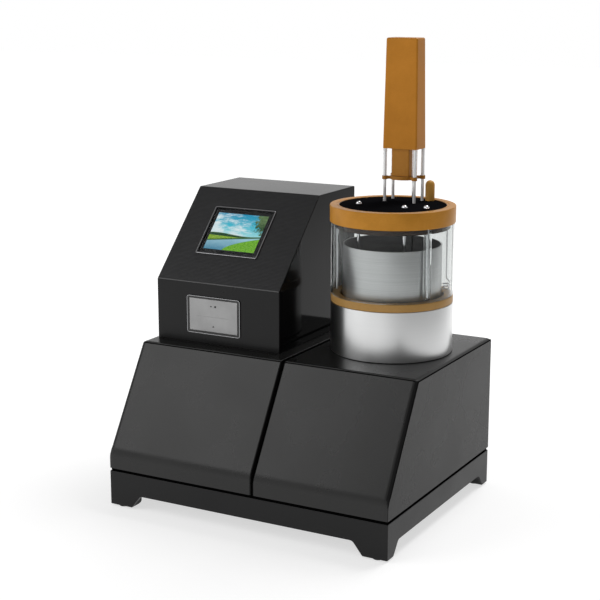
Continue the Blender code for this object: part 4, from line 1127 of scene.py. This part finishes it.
def make_looks():
    black = (0.006, 0.006, 0.0062), (0.009, 0.009, 0.0092)
    warm_black = (0.007, 0.007, 0.0068), (0.0105, 0.0104, 0.01)
    deep_black = (0.004, 0.004, 0.0042), (0.006, 0.006, 0.0062)
    return {
        "plinth": enamel("plinth_paint", *black, (0.3, 0.4), 1.0, 0.22),
        "module": enamel("module_paint", *warm_black, (0.24, 0.32), 1.3, 0.36),
        "module_side": enamel("side_paint", *warm_black, (0.24, 0.32), 2.0, 0.13),
        # Painted shadow for the gap between the plinth and the covers
        "gap_shadow": enamel("shadow_paint", even(0.001), even(0.002), (0.6, 0.7), 0.5, 0.0),
        # Painted shade on the covers' round edges
        "bend": enamel("bend_shade_paint", even(0.005), even(0.008), (0.3, 0.4), 0.5, 0.17),
        "edge": enamel("edge_shade_paint", even(0.003), even(0.005), (0.4, 0.5), 0.5, 0.0),
        "satin": enamel("display_paint", *black, (0.22, 0.3), 0.5, 0.2),
        # Painted highlight for the creases
        "crease": enamel("crease_highlight_paint", even(0.03), even(0.04), (0.22, 0.3), 0.5, 0.45),
        "case_side": enamel("display_gloss", *deep_black, (0.05, 0.09), 0.1, 0.09),
        "case_top": enamel("display_top", *deep_black, (0.1, 0.16), 0.1, 0.04),
        "film": lined_film("display_film", (0.0015, 0.0015, 0.002), (0.018, 0.018, 0.019)),
        "black_plastic": moulded_plastic("black_moulding", even(0.012), even(0.024)),
        "bezel": moulded_plastic("bezel_moulding", even(0.006), even(0.014), 0.3),
        "switch": moulded_plastic("switch_moulding", even(0.01), even(0.02), 0.25),
        "mark": moulded_plastic("white_marking", even(0.7), even(0.8), 0.5),
        "door": moulded_plastic("door_moulding", even(0.29), even(0.37), 0.4),
        "lamp": gloss_black("lamp_lens", (0.01, 0.012, 0.01), (0.3, 0.4), 0.3),
        "mask": moulded_plastic("screen_ink", (0.002, 0.002, 0.003), (0.005, 0.005, 0.006), 0.3),
        "rubber": rubber("black_rubber"),
        "phenolic": phenolic("phenolic_rings", (0.38, 0.165, 0.018), (0.46, 0.2, 0.025), (0.53, 0.24, 0.038)),
        "phenolic_pale": phenolic("phenolic_base_ring", (0.32, 0.18, 0.055), (0.375, 0.215, 0.07),
                                  (0.43, 0.25, 0.09)),
        "phenolic_shade": phenolic("phenolic_painted_shade", (0.05, 0.02, 0.004), (0.06, 0.025, 0.005),
                                   (0.075, 0.03, 0.007)),
        "phenolic_dark": phenolic("phenolic_neck", (0.31, 0.13, 0.018), (0.37, 0.155, 0.024),
                                  (0.43, 0.19, 0.034)),
        "phenolic_housing": phenolic("phenolic_housing", (0.38, 0.147, 0.014), (0.43, 0.168, 0.017),
                                     (0.48, 0.19, 0.021)),
        "phenolic_olive": phenolic("phenolic_peg", (0.44, 0.22, 0.045), (0.54, 0.28, 0.06),
                                   (0.62, 0.34, 0.09)),
        "drum": turned_metal("satin_drum", (0.66, 0.665, 0.665), (0.68, 0.685, 0.685), (0.3, 0.34), 500.0,
                             0.000002, 0.2, 0.55),
        "can": turned_metal("turned_can", (0.57, 0.575, 0.58), (0.72, 0.725, 0.73), (0.32, 0.42), 420.0,
                            0.00005),
        "can_inside_shade": turned_metal("can_inside_shade", (0.13, 0.13, 0.132), (0.19, 0.19, 0.193), (0.4, 0.5), 420.0,
                                   0.00005),
        "machined": turned_metal("machined_aluminium", (0.5, 0.5, 0.52), (0.68, 0.68, 0.7), (0.3, 0.4), 700.0,
                                 0.00006),
        "bezel_rim": polished_metal("satin_rim", (0.42, 0.42, 0.43), (0.16, 0.24)),
        # Painted highlight round the printer's frame
        "highlight_bead": polished_metal("satin_highlight_bead", (0.4, 0.4, 0.41), (0.16, 0.24)),
        "chrome": polished_metal("bright_chrome", (0.82, 0.82, 0.84)),
        "pale_steel": polished_metal("satin_steel", even(0.95), (0.2, 0.3), 0.25),
        "bright_steel": polished_metal("bright_steel", (0.74, 0.74, 0.75), (0.1, 0.18)),
        "glass": clear_glass("bath_glass", (0.775, 0.79, 0.785)),
        "tube": clear_glass("tube_glass", (0.93, 0.94, 0.94), 1.2, 1.4),
        "sleeve": clear_glass("sleeve_plastic", even(0.985), 1.06, 1.25),
        "screen_glass": clear_glass("touch_glass_clear", (0.96, 0.97, 0.97), 1.02, 1.1),
        "gloss_black": gloss_black("lid_gloss", (0.006, 0.006, 0.007), (0.1, 0.16), 0.0),
        "plug": gloss_black("plug_gloss", (0.04, 0.021, 0.011), (0.1, 0.16), 0.3),
        "circuit": circuit("circuit_board"),
        "paper": wound_paper("thermal_paper"),
    }


def make_stage():
    """A pale floor that glows, with painted shade towards the right, a sky that gets darker towards the
    right, and two soft lamps.
    """
    nodes = Surface("studio_floor", Roughness=0.9)
    x, y, z = nodes.split(nodes.place)
    shade = nodes.between(x, 0.3, 2.6, 1.0, RIGHT_SHADE, smooth=True)
    reach = nodes.add("ShaderNodeVectorMath", {"Vector": nodes.place}, operation="LENGTH").outputs["Value"]
    tone = nodes.times(shade, nodes.between(nodes.noise(1.5, 2.0), 0.3, 0.7, 0.48, 0.5))
    look = nodes.finish(Base_Color=nodes.grey(tone), Emission_Color=nodes.grey(shade),
                        Emission_Strength=nodes.between(reach, 0.5, 2.2, 0.62, 0.85))
    floor = extruded("studio_floor", rectangle(12, 12), -0.02, CAD_BOX[0][2] - 0.0002, look)

    world = bpy.data.worlds.new("studio")
    bpy.context.scene.world = world
    world.use_nodes = True
    nodes = Nodes(world.node_tree)
    x, y, z = nodes.split(nodes.add("ShaderNodeTexCoord").outputs["Generated"])
    glow = nodes.ramp(z, (0.0, even(1.0)), (0.22, even(0.87)), (0.36, even(0.6)), (0.57, even(0.35)),
                      (1.0, even(0.35)))
    background = world.node_tree.nodes["Background"]
    nodes.give(background.inputs["Color"], glow)
    nodes.give(background.inputs["Strength"], nodes.between(x, 0.1, 0.8, 1.0, RIGHT_SHADE))

    add_softbox("left_softbox", (-1.27, -1.37, 1.6), 1.35, 11.4)
    add_softbox("top_softbox", (0.5, 1.4, 2.6), 1.2, 45)


def add_softbox(name, place, size, power):
    """A square lamp, aimed where the camera is aimed."""
    data = bpy.data.lights.new(name, "AREA")
    data.size = size
    data.energy = power
    lamp = bpy.data.objects.new(name, data)
    put(lamp, place, (CAMERA_AIM - Vector(place)).to_track_quat("-Z", "Y").to_euler())
    bpy.context.scene.collection.objects.link(lamp)


def make_camera():
    azimuth, elevation = math.radians(CAMERA_AZIMUTH), math.radians(CAMERA_ELEVATION)
    back = Vector((math.sin(azimuth) * math.cos(elevation), -math.cos(azimuth) * math.cos(elevation),
                   math.sin(elevation)))
    data = bpy.data.cameras.new("camera")
    data.lens = CAMERA_LENS
    data.sensor_width = 36
    camera = bpy.data.objects.new("camera", data)
    camera.location = CAMERA_AIM + back * CAMERA_DISTANCE
    camera.rotation_euler = (-back).to_track_quat("-Z", "Y").to_euler()
    bpy.context.scene.collection.objects.link(camera)
    bpy.context.scene.camera = camera
    bpy.context.scene.view_settings.view_transform = "Standard"


make_camera()
looks = make_looks()
make_enclosures(looks)
make_rear_fittings(looks)
make_display(looks)
make_printer(looks)
make_vessel(looks)
make_lid(looks)
make_lid_studs(looks)
make_lid_hangings(looks)
make_tower(looks)
NODES["power_supply"].data.materials[0] = looks["machined"]
make_stage()
